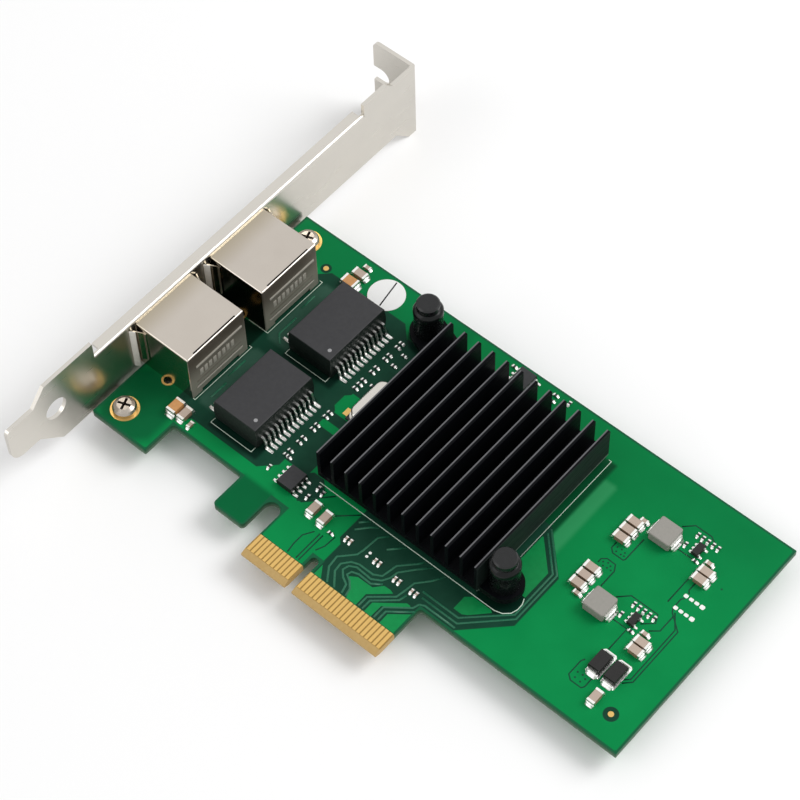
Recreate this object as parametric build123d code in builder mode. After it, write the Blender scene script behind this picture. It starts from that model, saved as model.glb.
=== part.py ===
"""Dual-port network interface card on a full-height bracket.

The card lies flat with its component side up. X runs along the board from the
bracket to the free end, Y from the contact tips to the upper edge, and Z is the
height above the component side. The origin is the middle of the key notch on the
line of the contact tips.
"""
import os

from build123d import *

# Board
board_thickness = 1.57
board_left = -57.15
board_right = 69.1
board_top = 68.9
board_floor = 12.9
leg_bottom = 4.8
leg_right = -42.5
lug_bottom = 4.5
lug_left = -23.9
lug_right = -16.0
cutter_radius = 0.8
lug_corner = 0.9

# Edge contacts
contact_left = -12.15
contact_right = 22.15
contact_pitch = 1.0
contact_width = 0.7
contact_bottom = 1.35
contact_top = 5.45
contacts_before_key = 11
contacts_after_key = 21
key_width = 1.9
key_height = 8.4
wide_notch_height = 12.55
bevel_length = 1.25
bevel_depth = 0.45
plating = 0.05
first_contact = 1.5

# Bracket
sheet = 0.86
bend_inside = 0.35
bracket_gap = 0.75
bracket_length = 120.02
bracket_end = -15.4
bracket_low = -1.5
bracket_high = 18.2
neck_high = 17.0
tongue_width = 10.19
tongue_low = 4.1
tongue_root = -8.2
tongue_flare = 3.6
tab_width = 19.6
tab_low = -4.4
tab_length = 11.43
tab_slot_width = 4.42
tab_slot_depth = 4.3
tab_slot_centre = 5.55
tab_corner = 1.5
neck_setback = 9.28
neck_low = -5.6
flange_start = 10.6
flange_setback = 17.48
flange_depth = 2.7
relief_width = 2.0
end_relief = 0.8
flange_clearance = 0.05
port_clearance = 0.2
vent_radius = 2.65
vent_y = -2.9
vent_z = 8.9
ear_width = 8.0
ear_reach = 9.4
ear_corner = 1.5

# Bracket screws
screw_x = -52.5
screw_y = (9.4, 64.0)
screw_radius = 1.5
screw_length = 3.8
screw_head_radius = 2.5
screw_head_height = 1.7
thread_clearance = 0.05
hole_clearance = 0.2
screw_pad_radius = 3.05

# Modular jacks
jack_y = (28.0, 49.55)
jack_width = 16.2
jack_height = 13.1
jack_depth = 15.66
jack_proud = 0.5
shield_sheet = 0.25
shield_gap = 0.05
plug_width = 11.8
plug_height = 6.9
plug_depth = 12.8
plug_low = 5.0
latch_width = 6.1
latch_height = 1.5
latch_groove_width = 3.4
latch_groove_height = 1.3
wire_pitch = 1.02
wire_width = 0.36
wire_thick = 0.3
wire_slot = 0.5
wire_count = 8
wire_drop = 2.5
tail_length = 0.6
tail_row = 2.54
tail_hole = 0.42
hole_facets = 16
leg_setback = 8.6
leg_width = 1.5
leg_hole = 1.0
leg_ring = 1.45
peg_radius = 1.5
peg_setback = 10.4
peg_inset = 2.1
lamp_width = 3.1
lamp_height = 2.3
lamp_depth = 2.5
lamp_low = 1.3
finger_height = 9.0
finger_flare = 1.0
finger_length = 2.2
window_pitch = 1.27
window_width = 0.9
window_height = 1.3
window_low = 5.6

# Magnetics modules
magnetics_gap = 6.6
magnetics_length = 17.0
magnetics_width = 11.5
magnetics_height = 6.3
magnetics_stand = 0.25
magnetics_pins = 12
magnetics_y = (27.7, 49.6)
magnetics_pin_height = 3.2
pin_pitch = 1.27
pin_width = 0.46
pin_thick = 0.28
pin_shoulder = 0.75
pin_foot = 1.35
pin_reach = 2.75

# Controller and heat sink
sink_left = -11.7
sink_low = 21.9
sink_width = 40.4
sink_length = 40.1
sink_base = 1.5
sink_top = 10.0
fin_count = 12
fin_thick = 0.8
package_size = 25.0
package_substrate = 0.5
package_cap_size = 21.0
package_height = 1.5
pad_margin = 0.8
pad_thick = 0.3
lower_pin_out = 3.2
lower_pin_in = 4.3
upper_pin_out = 5.3
upper_pin_in = 0.6
ear_radius = 3.9
push_shaft = 1.35
push_clearance = 0.2
push_body = 2.75
push_body_height = 6.4
push_cap = 2.45
push_cap_height = 2.9
barb_radius = 1.95
barb_length = 2.7
barb_slot = 0.6

# Small-outline chips: centre x, centre y
chip_width = 3.9
chip_length = 4.9
chip_height = 1.7
chip_stand = 0.15
chip_pins = 4
chip_pin_width = 0.42
chip_pin_thick = 0.2
chip_reach = 1.15
chips_at = ((-15.3, 18.2), (4.35, 65.15))

# Voltage regulators
regulator_width = 1.6
regulator_length = 2.9
regulator_height = 1.1
regulator_pitch = 0.95
regulator_reach = 0.6
regulators_at = ((54.8, 56.7), (54.7, 36.8))

# Crystal
crystal_x = -15.0
crystal_y = 41.5
crystal_width = 4.3
crystal_length = 11.2
crystal_height = 2.7
crystal_base = 0.4

# Power inductors
inductor_size = 4.9
inductor_height = 2.5
inductor_at = ((48.0, 55.1), (47.9, 35.0))
inductor_terminal_width = 3.4
inductor_terminal_thick = 0.35
inductor_terminal_reach = 1.0

# Rectifier diodes
diode_width = 2.75
diode_length = 4.3
diode_height = 2.05
diode_terminal = 1.7
diode_terminal_thick = 0.25
diodes_at = ((55.6, 25.4), (59.2, 25.4))

# Chip parts: length, width, height and end cap length
large_cap = (3.2, 1.65, 1.3, 0.5)
wide_cap = (3.4, 2.1, 1.8, 0.5)
medium_chip = (1.6, 0.8, 0.7, 0.35)
small_chip = (1.0, 0.5, 0.4, 0.25)
cap_overhang = 0.04

# Label
label_x = -30.75
label_y = 64.15
label_radius = 4.0
label_thick = 0.12

bracket_inner = board_left - bracket_gap
bracket_outer = bracket_inner - sheet
bracket_top = bracket_end + bracket_length + sheet
neck_start = bracket_top - neck_setback
flange_end = bracket_top - flange_setback
jack_front = bracket_outer - jack_proud
jack_rear = jack_front + jack_depth
leg_x = jack_front + leg_setback
peg_spacing = jack_width - 2 * peg_inset
flange_low = jack_height + flange_clearance
flange_high = flange_low + sheet
board_under = -board_thickness
magnetics_x = jack_rear + magnetics_gap + magnetics_width / 2
sink_right = sink_left + sink_width
sink_high = sink_low + sink_length
sink_x = (sink_left + sink_right) / 2
sink_y = (sink_low + sink_high) / 2
sink_bottom = package_height + pad_thick
sink_floor = sink_bottom + sink_base
fin_pitch = (sink_width - fin_thick) / (fin_count - 1)
lower_pin = (sink_right + lower_pin_out, sink_low + lower_pin_in)
upper_pin = (sink_left - upper_pin_out, sink_high - upper_pin_in)
push_pins_at = (lower_pin, upper_pin)
wire_rear = jack_rear - shield_sheet - shield_gap - 0.35

os.makedirs("parts", exist_ok=True)


def save(builder, label):
    """Labels a finished piece and writes it under its own name."""
    builder.part.label = label
    export_step(builder.part, f"parts/{label}.step")


def spread(centre, pitch, count):
    """Evenly spaced positions about a centre."""
    return [centre + pitch * (n - (count - 1) / 2) for n in range(count)]


def contact_centres():
    """Middle of every contact along the edge, on both sides of the key."""
    before = [-first_contact - contact_pitch * n for n in range(contacts_before_key)]
    after = [first_contact + contact_pitch * n for n in range(contacts_after_key)]
    return before + after


def wire_lines(jack_centre):
    """Y of each contact wire of a jack."""
    first = jack_centre - wire_pitch * (wire_count - 1) / 2
    return [first + wire_pitch * n for n in range(wire_count)]


def wire_tail_x(number):
    """The tails leave the jack in two staggered rows."""
    return wire_rear - wire_thick / 2 - (tail_row if number % 2 else 0)


def circuit_board():
    """Board blank with its notches, bevelled contact edge and drilled holes."""
    notch_radius = (contact_left - lug_right) / 2
    key_radius = key_width / 2
    with BuildPart() as board:
        with BuildSketch(Plane.XY.offset(-board_thickness)) as outline:
            with BuildLine() as edge:
                Polyline(
                    (board_left, board_top),
                    (board_left, leg_bottom),
                    (leg_right, leg_bottom),
                    (leg_right, board_floor),
                    (lug_left, board_floor),
                    (lug_left, lug_bottom),
                    (lug_right, lug_bottom),
                    (lug_right, wide_notch_height - notch_radius),
                )
                ThreePointArc(
                    (lug_right, wide_notch_height - notch_radius),
                    ((lug_right + contact_left) / 2, wide_notch_height),
                    (contact_left, wide_notch_height - notch_radius),
                )
                Polyline(
                    (contact_left, wide_notch_height - notch_radius),
                    (contact_left, 0),
                    (-key_radius, 0),
                    (-key_radius, key_height - key_radius),
                )
                ThreePointArc(
                    (-key_radius, key_height - key_radius),
                    (0, key_height),
                    (key_radius, key_height - key_radius),
                )
                Polyline(
                    (key_radius, key_height - key_radius),
                    (key_radius, 0),
                    (contact_right, 0),
                    (contact_right, board_floor),
                    (board_right, board_floor),
                    (board_right, board_top),
                    (board_left, board_top),
                )
            make_face()
            corners = outline.vertices()
            inner = corners.filter_by(lambda v: abs(v.Y - board_floor) < 1e-6 and v.X < board_right - 1)
            fillet(inner, cutter_radius)
            corners = outline.vertices()
            lug = corners.filter_by(lambda v: abs(v.Y - lug_bottom) < 1e-6)
            tips = corners.filter_by(lambda v: abs(v.Y) < 1e-6)
            fillet(lug, lug_corner)
            fillet(tips, bevel_depth)
            fillet(outline.vertices().filter_by(lambda v: abs(v.Y - leg_bottom) < 1e-6), cutter_radius / 2)
            with Locations(*[(screw_x, y) for y in screw_y]):
                Circle(screw_radius + hole_clearance, mode=Mode.SUBTRACT)
            with Locations(*push_pins_at):
                Circle(push_shaft + push_clearance, mode=Mode.SUBTRACT)
            for centre in jack_y:
                side = jack_width / 2 - shield_sheet / 2
                with Locations((leg_x, centre - side), (leg_x, centre + side)):
                    RegularPolygon(leg_hole, hole_facets, mode=Mode.SUBTRACT)
                peg_x = jack_front + peg_setback
                with Locations((peg_x, centre - peg_spacing / 2), (peg_x, centre + peg_spacing / 2)):
                    RegularPolygon(peg_radius + hole_clearance / 2, hole_facets, mode=Mode.SUBTRACT)
                with Locations(*[(wire_tail_x(n), y) for n, y in enumerate(wire_lines(centre))]):
                    RegularPolygon(tail_hole, 8, mode=Mode.SUBTRACT)
        extrude(amount=board_thickness)
        with BuildSketch(Plane.YZ.offset(contact_left)):
            with BuildLine():
                Polyline((0, 0), (bevel_length, 0), (0, -bevel_depth), close=True)
            make_face()
            with BuildLine():
                Polyline(
                    (0, board_under),
                    (bevel_length, board_under),
                    (0, board_under + bevel_depth),
                    close=True,
                )
            make_face()
        extrude(amount=contact_right - contact_left, mode=Mode.SUBTRACT)
    save(board, "circuit_board")


def edge_contacts(label, height):
    """One gold stripe for each contact, on one face of the board."""
    with BuildPart() as stripes:
        with BuildSketch(Plane.XY.offset(height)):
            with Locations(*[(x, (contact_bottom + contact_top) / 2) for x in contact_centres()]):
                Rectangle(contact_width, contact_top - contact_bottom)
        extrude(amount=plating)
    save(stripes, label)


def plated_rings():
    """Gold lands: screw rings, shield-leg rings, round marks and the crystal's land."""
    with BuildPart() as rings:
        with BuildSketch(Plane.XY):
            with Locations(*[(screw_x, y) for y in screw_y]):
                Circle(screw_pad_radius)
                Circle(screw_radius + hole_clearance, mode=Mode.SUBTRACT)
            with Locations((-44.9, 61.3), (63.4, 18.7)):
                RegularPolygon(0.6, hole_facets)
            with Locations((crystal_x - crystal_width / 2 - 0.65, crystal_y - 4.1)):
                Rectangle(1.25, 1.8)
        extrude(amount=plating)
        with BuildSketch(Plane.XY):
            for centre in jack_y:
                side = jack_width / 2 - shield_sheet / 2
                for y, turn in ((centre - side, -1), (centre + side, 1)):
                    outside = y + turn * (shield_sheet / 2 + shield_gap + leg_ring)
                    with Locations((leg_x, y)):
                        RegularPolygon(leg_ring, hole_facets)
                        RegularPolygon(leg_hole, hole_facets, mode=Mode.SUBTRACT)
                    with Locations((leg_x, outside - turn * 2 * leg_ring)):
                        Rectangle(2 * leg_ring + 1, 2 * leg_ring, mode=Mode.SUBTRACT)
        extrude(amount=plating)
    save(rings, "plated_rings")


def bracket():
    """Folded sheet bracket: tongue, relieved flange over the ports, screw tab and two board ears."""
    tongue_high = tongue_low + tongue_width
    tab_high = tab_low + tab_width
    neck_slope = neck_high - tab_high
    ear_bottom = board_under - sheet
    with BuildPart() as folded:
        with BuildSketch(Plane.YZ.offset(bracket_inner)) as face:
            with BuildLine():
                Polyline(
                    (bracket_end, tongue_low),
                    (tongue_root, tongue_low),
                    (tongue_root + tongue_low - bracket_low, bracket_low),
                    (neck_start + 2.4, bracket_low),
                    (neck_start + 2.4 + bracket_low - neck_low, neck_low),
                    (bracket_top, neck_low),
                    (bracket_top, tab_high),
                    (neck_start + neck_slope, tab_high),
                    (neck_start, neck_high),
                    (flange_end + end_relief, neck_high),
                    (flange_end + end_relief, flange_high),
                    (flange_start - relief_width, flange_high),
                    (flange_start - relief_width, bracket_high),
                    (tongue_root + tongue_flare, bracket_high),
                    (tongue_root, tongue_high),
                    (bracket_end, tongue_high),
                    close=True,
                )
            make_face()
            end = face.vertices().filter_by(lambda v: abs(v.X - bracket_end) < 1e-6)
            fillet(end.sort_by(Axis.Y)[0], tongue_width / 3.4)
            end = face.vertices().filter_by(lambda v: abs(v.X - bracket_end) < 1e-6)
            fillet(end.sort_by(Axis.Y)[-1], 1.2)
        extrude(amount=-sheet)
        with BuildSketch(Plane.XZ.offset(-bracket_top)) as tab:
            with BuildLine():
                Polyline(
                    (bracket_inner, tab_low),
                    (bracket_inner, tab_high),
                    (bracket_inner - tab_length, tab_high),
                    (bracket_inner - tab_length, tab_low),
                    close=True,
                )
            make_face()
            outer = tab.vertices().filter_by(lambda v: abs(v.X - bracket_inner + tab_length) < 1e-6)
            fillet(outer, tab_corner)
            slot_x = bracket_inner - tab_length
            with Locations((slot_x, tab_slot_centre)):
                Rectangle(2 * tab_slot_depth - tab_slot_width, tab_slot_width, mode=Mode.SUBTRACT)
            with Locations((slot_x + tab_slot_depth - tab_slot_width / 2, tab_slot_centre)):
                Circle(tab_slot_width / 2, mode=Mode.SUBTRACT)
        extrude(amount=sheet)
        with BuildSketch(Plane.XY.offset(flange_low)):
            with Locations((bracket_inner - flange_depth / 2, (flange_start + flange_end) / 2)):
                Rectangle(flange_depth, flange_end - flange_start)
        extrude(amount=sheet)
        with BuildSketch(Plane.XY.offset(ear_bottom)) as ears:
            with Locations(*[((bracket_outer + bracket_inner + ear_reach) / 2, y) for y in screw_y]):
                Rectangle(ear_reach + sheet, ear_width)
            fillet(ears.vertices().group_by(Axis.X)[-1], ear_corner)
        extrude(amount=sheet)
        with BuildSketch(Plane.YZ.offset(bracket_inner)):
            with Locations(*[(y, (ear_bottom + bracket_low) / 2) for y in screw_y]):
                Rectangle(ear_width, bracket_low - ear_bottom)
        extrude(amount=-sheet)
        bends = folded.edges().filter_by(Axis.Y) + folded.edges().filter_by(Axis.Z)
        outside = bends.filter_by(
            lambda e: (abs(e.center().X - bracket_outer) < 1e-6 and abs(e.center().Z - ear_bottom) < 1e-6)
            or (abs(e.center().X - bracket_inner) < 1e-6 and abs(e.center().Z - flange_high) < 1e-6
                and e.length > relief_width)
            or (abs(e.center().X - bracket_inner) < 1e-6 and abs(e.center().Y - bracket_top) < 1e-6)
        )
        fillet(outside, 0.8 * sheet)
        bends = folded.edges().filter_by(Axis.Y) + folded.edges().filter_by(Axis.Z)
        inside = bends.filter_by(
            lambda e: (abs(e.center().X - bracket_outer) < 1e-6 and abs(e.center().Z - flange_low) < 1e-6)
            or (abs(e.center().X - bracket_outer) < 1e-6 and abs(e.center().Y - bracket_top + sheet) < 1e-6)
        )
        fillet(inside, bend_inside)
        with BuildSketch(Plane.YZ.offset(bracket_inner + 1)):
            for centre in jack_y:
                with Locations((centre, (flange_low - port_clearance) / 2)):
                    Rectangle(jack_width + 2 * port_clearance, flange_low + port_clearance)
            with Locations((vent_y, vent_z)):
                Circle(vent_radius)
        extrude(amount=-sheet - 2, mode=Mode.SUBTRACT)
        with Locations(*[(screw_x, y, board_under) for y in screw_y]):
            Hole(screw_radius + thread_clearance, depth=sheet)
    save(folded, "bracket")


def bracket_screws():
    """Pan-head screws that clamp the board on the bracket's ears."""
    with BuildPart() as screws:
        for y in screw_y:
            with BuildSketch(Plane.XZ.offset(-y)):
                with BuildLine():
                    Polyline(
                        (screw_x, -screw_length),
                        (screw_x + screw_radius, -screw_length),
                        (screw_x + screw_radius, plating),
                        (screw_x + screw_head_radius, plating),
                        (screw_x + screw_head_radius, plating + screw_head_height * 0.45),
                        (screw_x + screw_head_radius * 0.88, plating + screw_head_height * 0.78),
                        (screw_x + screw_head_radius * 0.6, plating + screw_head_height),
                        (screw_x, plating + screw_head_height),
                        close=True,
                    )
                make_face()
            revolve(axis=Axis((screw_x, y, 0), (0, 0, 1)))
        with BuildSketch(Plane.XY.offset(plating + screw_head_height)):
            with Locations(*[(screw_x, y) for y in screw_y]):
                Rectangle(screw_head_radius * 1.15, 0.55, rotation=20)
                Rectangle(0.55, screw_head_radius * 1.15, rotation=20)
        extrude(amount=-screw_head_height * 0.55, taper=12, mode=Mode.SUBTRACT)
    save(screws, "bracket_screws")


def plug_profile(centre):
    """Plug opening with its stepped latch way, drawn in the current sketch."""
    with Locations((centre, plug_low + plug_height / 2)):
        Rectangle(plug_width, plug_height)
    with Locations((centre, plug_low - latch_height / 2)):
        Rectangle(latch_width, latch_height)
    with Locations((centre, plug_low - latch_height - latch_groove_height / 2)):
        Rectangle(latch_groove_width, latch_groove_height)


def lamp_centres(centre):
    """Lamp windows beside the latch way."""
    offset = (jack_width - 2 * shield_sheet - 2 * shield_gap) / 2 - lamp_width / 2 - 0.7
    return [(centre - offset, lamp_low + lamp_height / 2), (centre + offset, lamp_low + lamp_height / 2)]


def jack_shield(label, centre):
    """Formed sheet shield: front frame, roof, sides with ground fingers, rear wall and two legs."""
    half = jack_width / 2
    with BuildPart() as shield:
        with BuildSketch(Plane.XY):
            with Locations((jack_front + jack_depth / 2, centre)):
                Rectangle(jack_depth, jack_width)
        extrude(amount=jack_height)
        rims = shield.edges().filter_by(lambda e: e.center().Z > shield_sheet)
        fillet(rims, shield_sheet * 1.4)
        with BuildSketch(Plane.XY):
            with Locations((jack_front + jack_depth / 2, centre)):
                Rectangle(jack_depth - 2 * shield_sheet, jack_width - 2 * shield_sheet)
        extrude(amount=jack_height - shield_sheet, mode=Mode.SUBTRACT)
        with BuildSketch(Plane.YZ.offset(jack_front - 1)):
            plug_profile(centre)
            with Locations(*lamp_centres(centre)):
                Rectangle(lamp_width + 2 * shield_gap, lamp_height + 2 * shield_gap)
        extrude(amount=1 + shield_sheet + 0.3, mode=Mode.SUBTRACT)
        with BuildSketch(Plane.XY.offset(jack_height - 0.6)):
            with Locations((jack_rear - shield_sheet - 0.22, centre)):
                Rectangle(0.35, jack_width - 4.2)
        extrude(amount=1, mode=Mode.SUBTRACT)
        with BuildSketch(Plane.YZ.offset(jack_rear - 1)):
            with Locations(*[(y, window_low + window_height / 2) for y in spread(centre, window_pitch, 8)]):
                Rectangle(window_width, window_height)
            with Locations((centre, window_low - 1.45)):
                Rectangle(jack_width - 3.4, 0.6)
            with Locations((centre, window_low - 2.9)):
                Rectangle(jack_width - 3.4, 0.4)
            with Locations((centre, 0)):
                Rectangle(jack_width - 5.5, 1.6)
        extrude(amount=2, mode=Mode.SUBTRACT)
        with BuildSketch(Plane.XY.offset(board_under - tail_length)):
            for y in (centre - half + shield_sheet / 2, centre + half - shield_sheet / 2):
                with Locations((leg_x, y)):
                    Rectangle(leg_width, shield_sheet)
        extrude(amount=board_thickness + tail_length)
        for turn in (-1, 1):
            side = centre + turn * half
            root = bracket_inner + finger_length
            tip = bracket_inner + 0.15
            out = side + turn * finger_flare
            with BuildSketch(Plane.XY.offset(jack_height - 1.2 - finger_height)):
                with BuildLine():
                    Polyline(
                        (root, side),
                        (tip, out),
                        (tip, out + turn * shield_sheet),
                        (root, side + turn * shield_sheet),
                        (root + 0.6, side + turn * shield_sheet),
                        (root + 0.6, side),
                        close=True,
                    )
                make_face()
            extrude(amount=finger_height)
    save(shield, label)


def jack_housing(label, centre):
    """Moulded insert with the plug cavity, the wire grooves, lamp pockets and board pegs."""
    inset = shield_sheet + shield_gap
    front = jack_front + inset
    back = jack_rear - inset
    top = jack_height - inset
    ceiling = plug_low + plug_height
    with BuildPart() as housing:
        with BuildSketch(Plane.XY):
            with Locations(((front + back) / 2, centre)):
                Rectangle(back - front, jack_width - 2 * inset)
        extrude(amount=top)
        chamfer(housing.edges().filter_by(Axis.Z).group_by(Axis.X)[-1], 0.3)
        chamfer(housing.faces().sort_by(Axis.Z)[-1].edges(), 0.3)
        with BuildSketch(Plane.YZ.offset(front)):
            plug_profile(centre)
        extrude(amount=plug_depth, mode=Mode.SUBTRACT)
        chamfer(
            housing.faces().filter_by(Axis.X).sort_by(Axis.X)[0].inner_wires()[0].edges(),
            0.25,
        )
        for y in wire_lines(centre):
            with BuildSketch(Plane.XZ.offset(-y)):
                with Locations(((front + 1.6 + back) / 2, ceiling + 0.15)):
                    Rectangle(back - front - 1.6, 0.9)
                with Locations((back - 0.45, ceiling / 2)):
                    Rectangle(0.9, ceiling + 0.3)
            extrude(amount=wire_slot / 2, both=True, mode=Mode.SUBTRACT)
        with BuildSketch(Plane.XY):
            with Locations((back - (tail_row + 1.4) / 2, centre)):
                Rectangle(tail_row + 1.4, wire_pitch * wire_count + 0.6)
        extrude(amount=1.4, mode=Mode.SUBTRACT)
        with BuildSketch(Plane.YZ.offset(front)):
            with Locations(*lamp_centres(centre)):
                Rectangle(lamp_width + 2 * shield_gap, lamp_height + 2 * shield_gap)
        extrude(amount=lamp_depth, mode=Mode.SUBTRACT)
        with BuildSketch(Plane.XY.offset(board_under)):
            peg_x = jack_front + peg_setback
            with Locations((peg_x, centre - peg_spacing / 2), (peg_x, centre + peg_spacing / 2)):
                Circle(peg_radius)
        extrude(amount=board_thickness)
        chamfer(housing.edges().filter_by(GeomType.CIRCLE).group_by(Axis.Z)[0], 0.4)
    save(housing, label)


def jack_wires(label, centre):
    """Sprung contact wires: tail, riser, run along the ceiling and the sprung finger."""
    ceiling = plug_low + plug_height
    front = jack_front + shield_sheet + shield_gap
    run_low = ceiling + 0.15
    bend_x = front + 3.0
    tip_x = front + 8.6
    tip_z = ceiling - wire_drop
    with BuildPart() as wires:
        for n, y in enumerate(wire_lines(centre)):
            tail_x = wire_tail_x(n)
            rear = wire_rear
            low = 0.6
            with BuildSketch(Plane.XZ.offset(-y)):
                with BuildLine():
                    if n % 2:
                        Polyline(
                            (tail_x - wire_thick / 2, board_under - tail_length),
                            (tail_x + wire_thick / 2, board_under - tail_length),
                            (tail_x + wire_thick / 2, low),
                            (rear, low),
                            (rear, run_low + wire_thick),
                            (bend_x, run_low + wire_thick),
                            (bend_x - 0.5, run_low - 0.1),
                            (tip_x, tip_z),
                            (tip_x + 0.1, tip_z + wire_thick),
                            (bend_x + 0.5, run_low),
                            (rear - wire_thick, run_low),
                            (rear - wire_thick, low + wire_thick),
                            (tail_x - wire_thick / 2, low + wire_thick),
                            close=True,
                        )
                    else:
                        Polyline(
                            (tail_x - wire_thick / 2, board_under - tail_length),
                            (tail_x + wire_thick / 2, board_under - tail_length),
                            (rear, run_low + wire_thick),
                            (bend_x, run_low + wire_thick),
                            (bend_x - 0.5, run_low - 0.1),
                            (tip_x, tip_z),
                            (tip_x + 0.1, tip_z + wire_thick),
                            (bend_x + 0.5, run_low),
                            (rear - wire_thick, run_low),
                            close=True,
                        )
                make_face()
            extrude(amount=wire_width / 2, both=True)
    save(wires, label)


def jack_lamps(label, centre):
    """Light windows of a jack."""
    with BuildPart() as lamps:
        with BuildSketch(Plane.YZ.offset(jack_front)):
            with Locations(*lamp_centres(centre)):
                Rectangle(lamp_width, lamp_height)
        extrude(amount=shield_sheet + shield_gap + lamp_depth)
    save(lamps, label)


def pin_row(x, out, rows, height, thick, width, shoulder, reach, foot):
    """Gull-wing pins of one side of a chip, one for each Y in rows, added to the current part."""
    drop = reach - shoulder - foot
    for y in rows:
        with BuildSketch(Plane.XZ.offset(-y)) as pin:
            Polygon(
                (x, height),
                (x + out * shoulder, height),
                (x + out * (shoulder + drop), thick),
                (x + out * reach, thick),
                (x + out * reach, 0),
                (x + out * (shoulder + drop - thick), 0),
                (x + out * (shoulder - thick), height - thick),
                (x, height - thick),
                align=None,
            )
        extrude(pin.sketch, amount=width / 2, both=True)


def moulded(x, y, width, length, low, split, high, draft):
    """Moulded chip body that tapers up and down from its parting line, added to the current part."""
    with BuildSketch(Plane.XY.offset(split)) as middle:
        with Locations((x, y)):
            Rectangle(width, length)
    extrude(middle.sketch, amount=high - split, taper=draft)
    extrude(middle.sketch, amount=low - split, taper=draft)


def magnetics(number, y):
    """Transformer module with twelve pins along each long side."""
    split = magnetics_pin_height - pin_thick / 2
    with BuildPart() as body:
        size = (magnetics_width, magnetics_length)
        moulded(magnetics_x, y, *size, magnetics_stand, split, magnetics_height, 4)
        fillet(body.edges().filter_by(lambda e: abs(e.center().Z - magnetics_height) < 1e-6), 0.25)
    save(body, f"magnetics_{number}_body")
    with BuildPart() as pins:
        rows = spread(y, pin_pitch, magnetics_pins)
        for out in (-1, 1):
            x = magnetics_x + out * magnetics_width / 2
            section = (pin_thick, pin_width)
            pin_row(x, out, rows, magnetics_pin_height, *section, pin_shoulder, pin_reach, pin_foot)
    save(pins, f"magnetics_{number}_pins")


def controller():
    """Packaged controller and the thermal pad on it, under the heat sink."""
    with BuildPart() as package:
        with BuildSketch(Plane.XY):
            with Locations((sink_x, sink_y)):
                Rectangle(package_size, package_size)
        extrude(amount=package_substrate)
        with BuildSketch(Plane.XY.offset(package_substrate)):
            with Locations((sink_x, sink_y)):
                Rectangle(package_cap_size, package_cap_size)
        extrude(amount=package_height - package_substrate, taper=20)
    save(package, "controller_package")
    with BuildPart() as pad:
        with BuildSketch(Plane.XY.offset(package_height)):
            with Locations((sink_x, sink_y)):
                Rectangle(package_cap_size - 2 * pad_margin, package_cap_size - 2 * pad_margin)
        extrude(amount=pad_thick)
    save(pad, "thermal_pad")


def heat_sink():
    """Extruded heat sink: thin straight fins on a base with two rounded fixing ears."""
    with BuildPart() as sink:
        with BuildSketch(Plane.XY.offset(sink_bottom)):
            with Locations((sink_x, sink_y)):
                Rectangle(sink_width, sink_length)
            for x, y in push_pins_at:
                near_x = min(max(x, sink_left + ear_radius), sink_right - ear_radius)
                near_y = min(max(y, sink_low + ear_radius), sink_high - ear_radius)
                SlotCenterPoint(((x + near_x) / 2, (y + near_y) / 2), (x, y), 2 * ear_radius)
            with Locations(*push_pins_at):
                Circle(push_shaft + push_clearance, mode=Mode.SUBTRACT)
        extrude(amount=sink_base)
        with BuildSketch(Plane.XY.offset(sink_floor)):
            for x in spread(sink_x, fin_pitch, fin_count):
                with Locations((x, sink_y)):
                    Rectangle(fin_thick, sink_length)
        extrude(amount=sink_top - sink_floor)
    save(sink, "heat_sink")


def push_pins():
    """Plastic push pins: cap, thick body on the ear, shaft and a split barb under the board."""
    body_low = sink_floor
    body_high = body_low + push_body_height
    cap_high = body_high + push_cap_height
    barb_high = board_under - 0.1
    with BuildPart() as pins:
        for x, y in push_pins_at:
            with BuildSketch(Plane.XZ.offset(-y)):
                with BuildLine():
                    Polyline(
                        (x, barb_high - barb_length),
                        (x + 0.8, barb_high - barb_length),
                        (x + barb_radius, barb_high - 0.5),
                        (x + barb_radius, barb_high),
                        (x + push_shaft, barb_high),
                        (x + push_shaft, body_low),
                        (x + push_body, body_low),
                        (x + push_body, body_high - 0.4),
                        (x + push_cap - 0.3, body_high),
                        (x + push_cap, body_high + 0.8),
                        (x + push_cap, cap_high - 0.3),
                        (x + push_cap - 0.3, cap_high),
                        (x, cap_high),
                        (x, barb_high - barb_length),
                    )
                make_face()
            revolve(axis=Axis((x, y, 0), (0, 0, 1)))
        with Locations(*[(x, y, barb_high - barb_length) for x, y in push_pins_at]):
            Box(
                barb_slot,
                4 * barb_radius,
                barb_length + board_thickness,
                align=(Align.CENTER, Align.CENTER, Align.MIN),
                mode=Mode.SUBTRACT,
            )
    save(pins, "push_pins")


def small_outline_chips():
    """Eight-pin chips: the memory beside the contacts and the one at the upper edge."""
    split = 0.9
    with BuildPart() as bodies:
        for x, y in chips_at:
            moulded(x, y, chip_width, chip_length, chip_stand, split, chip_height, 8)
    save(bodies, "memory_chip_bodies")
    with BuildPart() as pins:
        for x, y in chips_at:
            for out in (-1, 1):
                edge = x + out * chip_width / 2
                rows = spread(y, pin_pitch, chip_pins)
                section = (chip_pin_thick, chip_pin_width)
                pin_row(edge, out, rows, split + chip_pin_thick / 2, *section, 0.3, chip_reach, 0.55)
    save(pins, "memory_chip_pins")


def regulators():
    """Five-pin regulators beside the inductors."""
    split = 0.55
    with BuildPart() as bodies:
        for x, y in regulators_at:
            moulded(x, y, regulator_width, regulator_length, 0.05, split, regulator_height, 8)
    save(bodies, "regulator_bodies")
    with BuildPart() as pins:
        for x, y in regulators_at:
            left = spread(y, regulator_pitch, 3)
            right = [left[0], left[2]]
            for out, rows in ((-1, left), (1, right)):
                edge = x + out * regulator_width / 2
                pin_row(edge, out, rows, split + 0.08, 0.15, 0.4, 0.15, regulator_reach, 0.3)
    save(pins, "regulator_pins")


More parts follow.
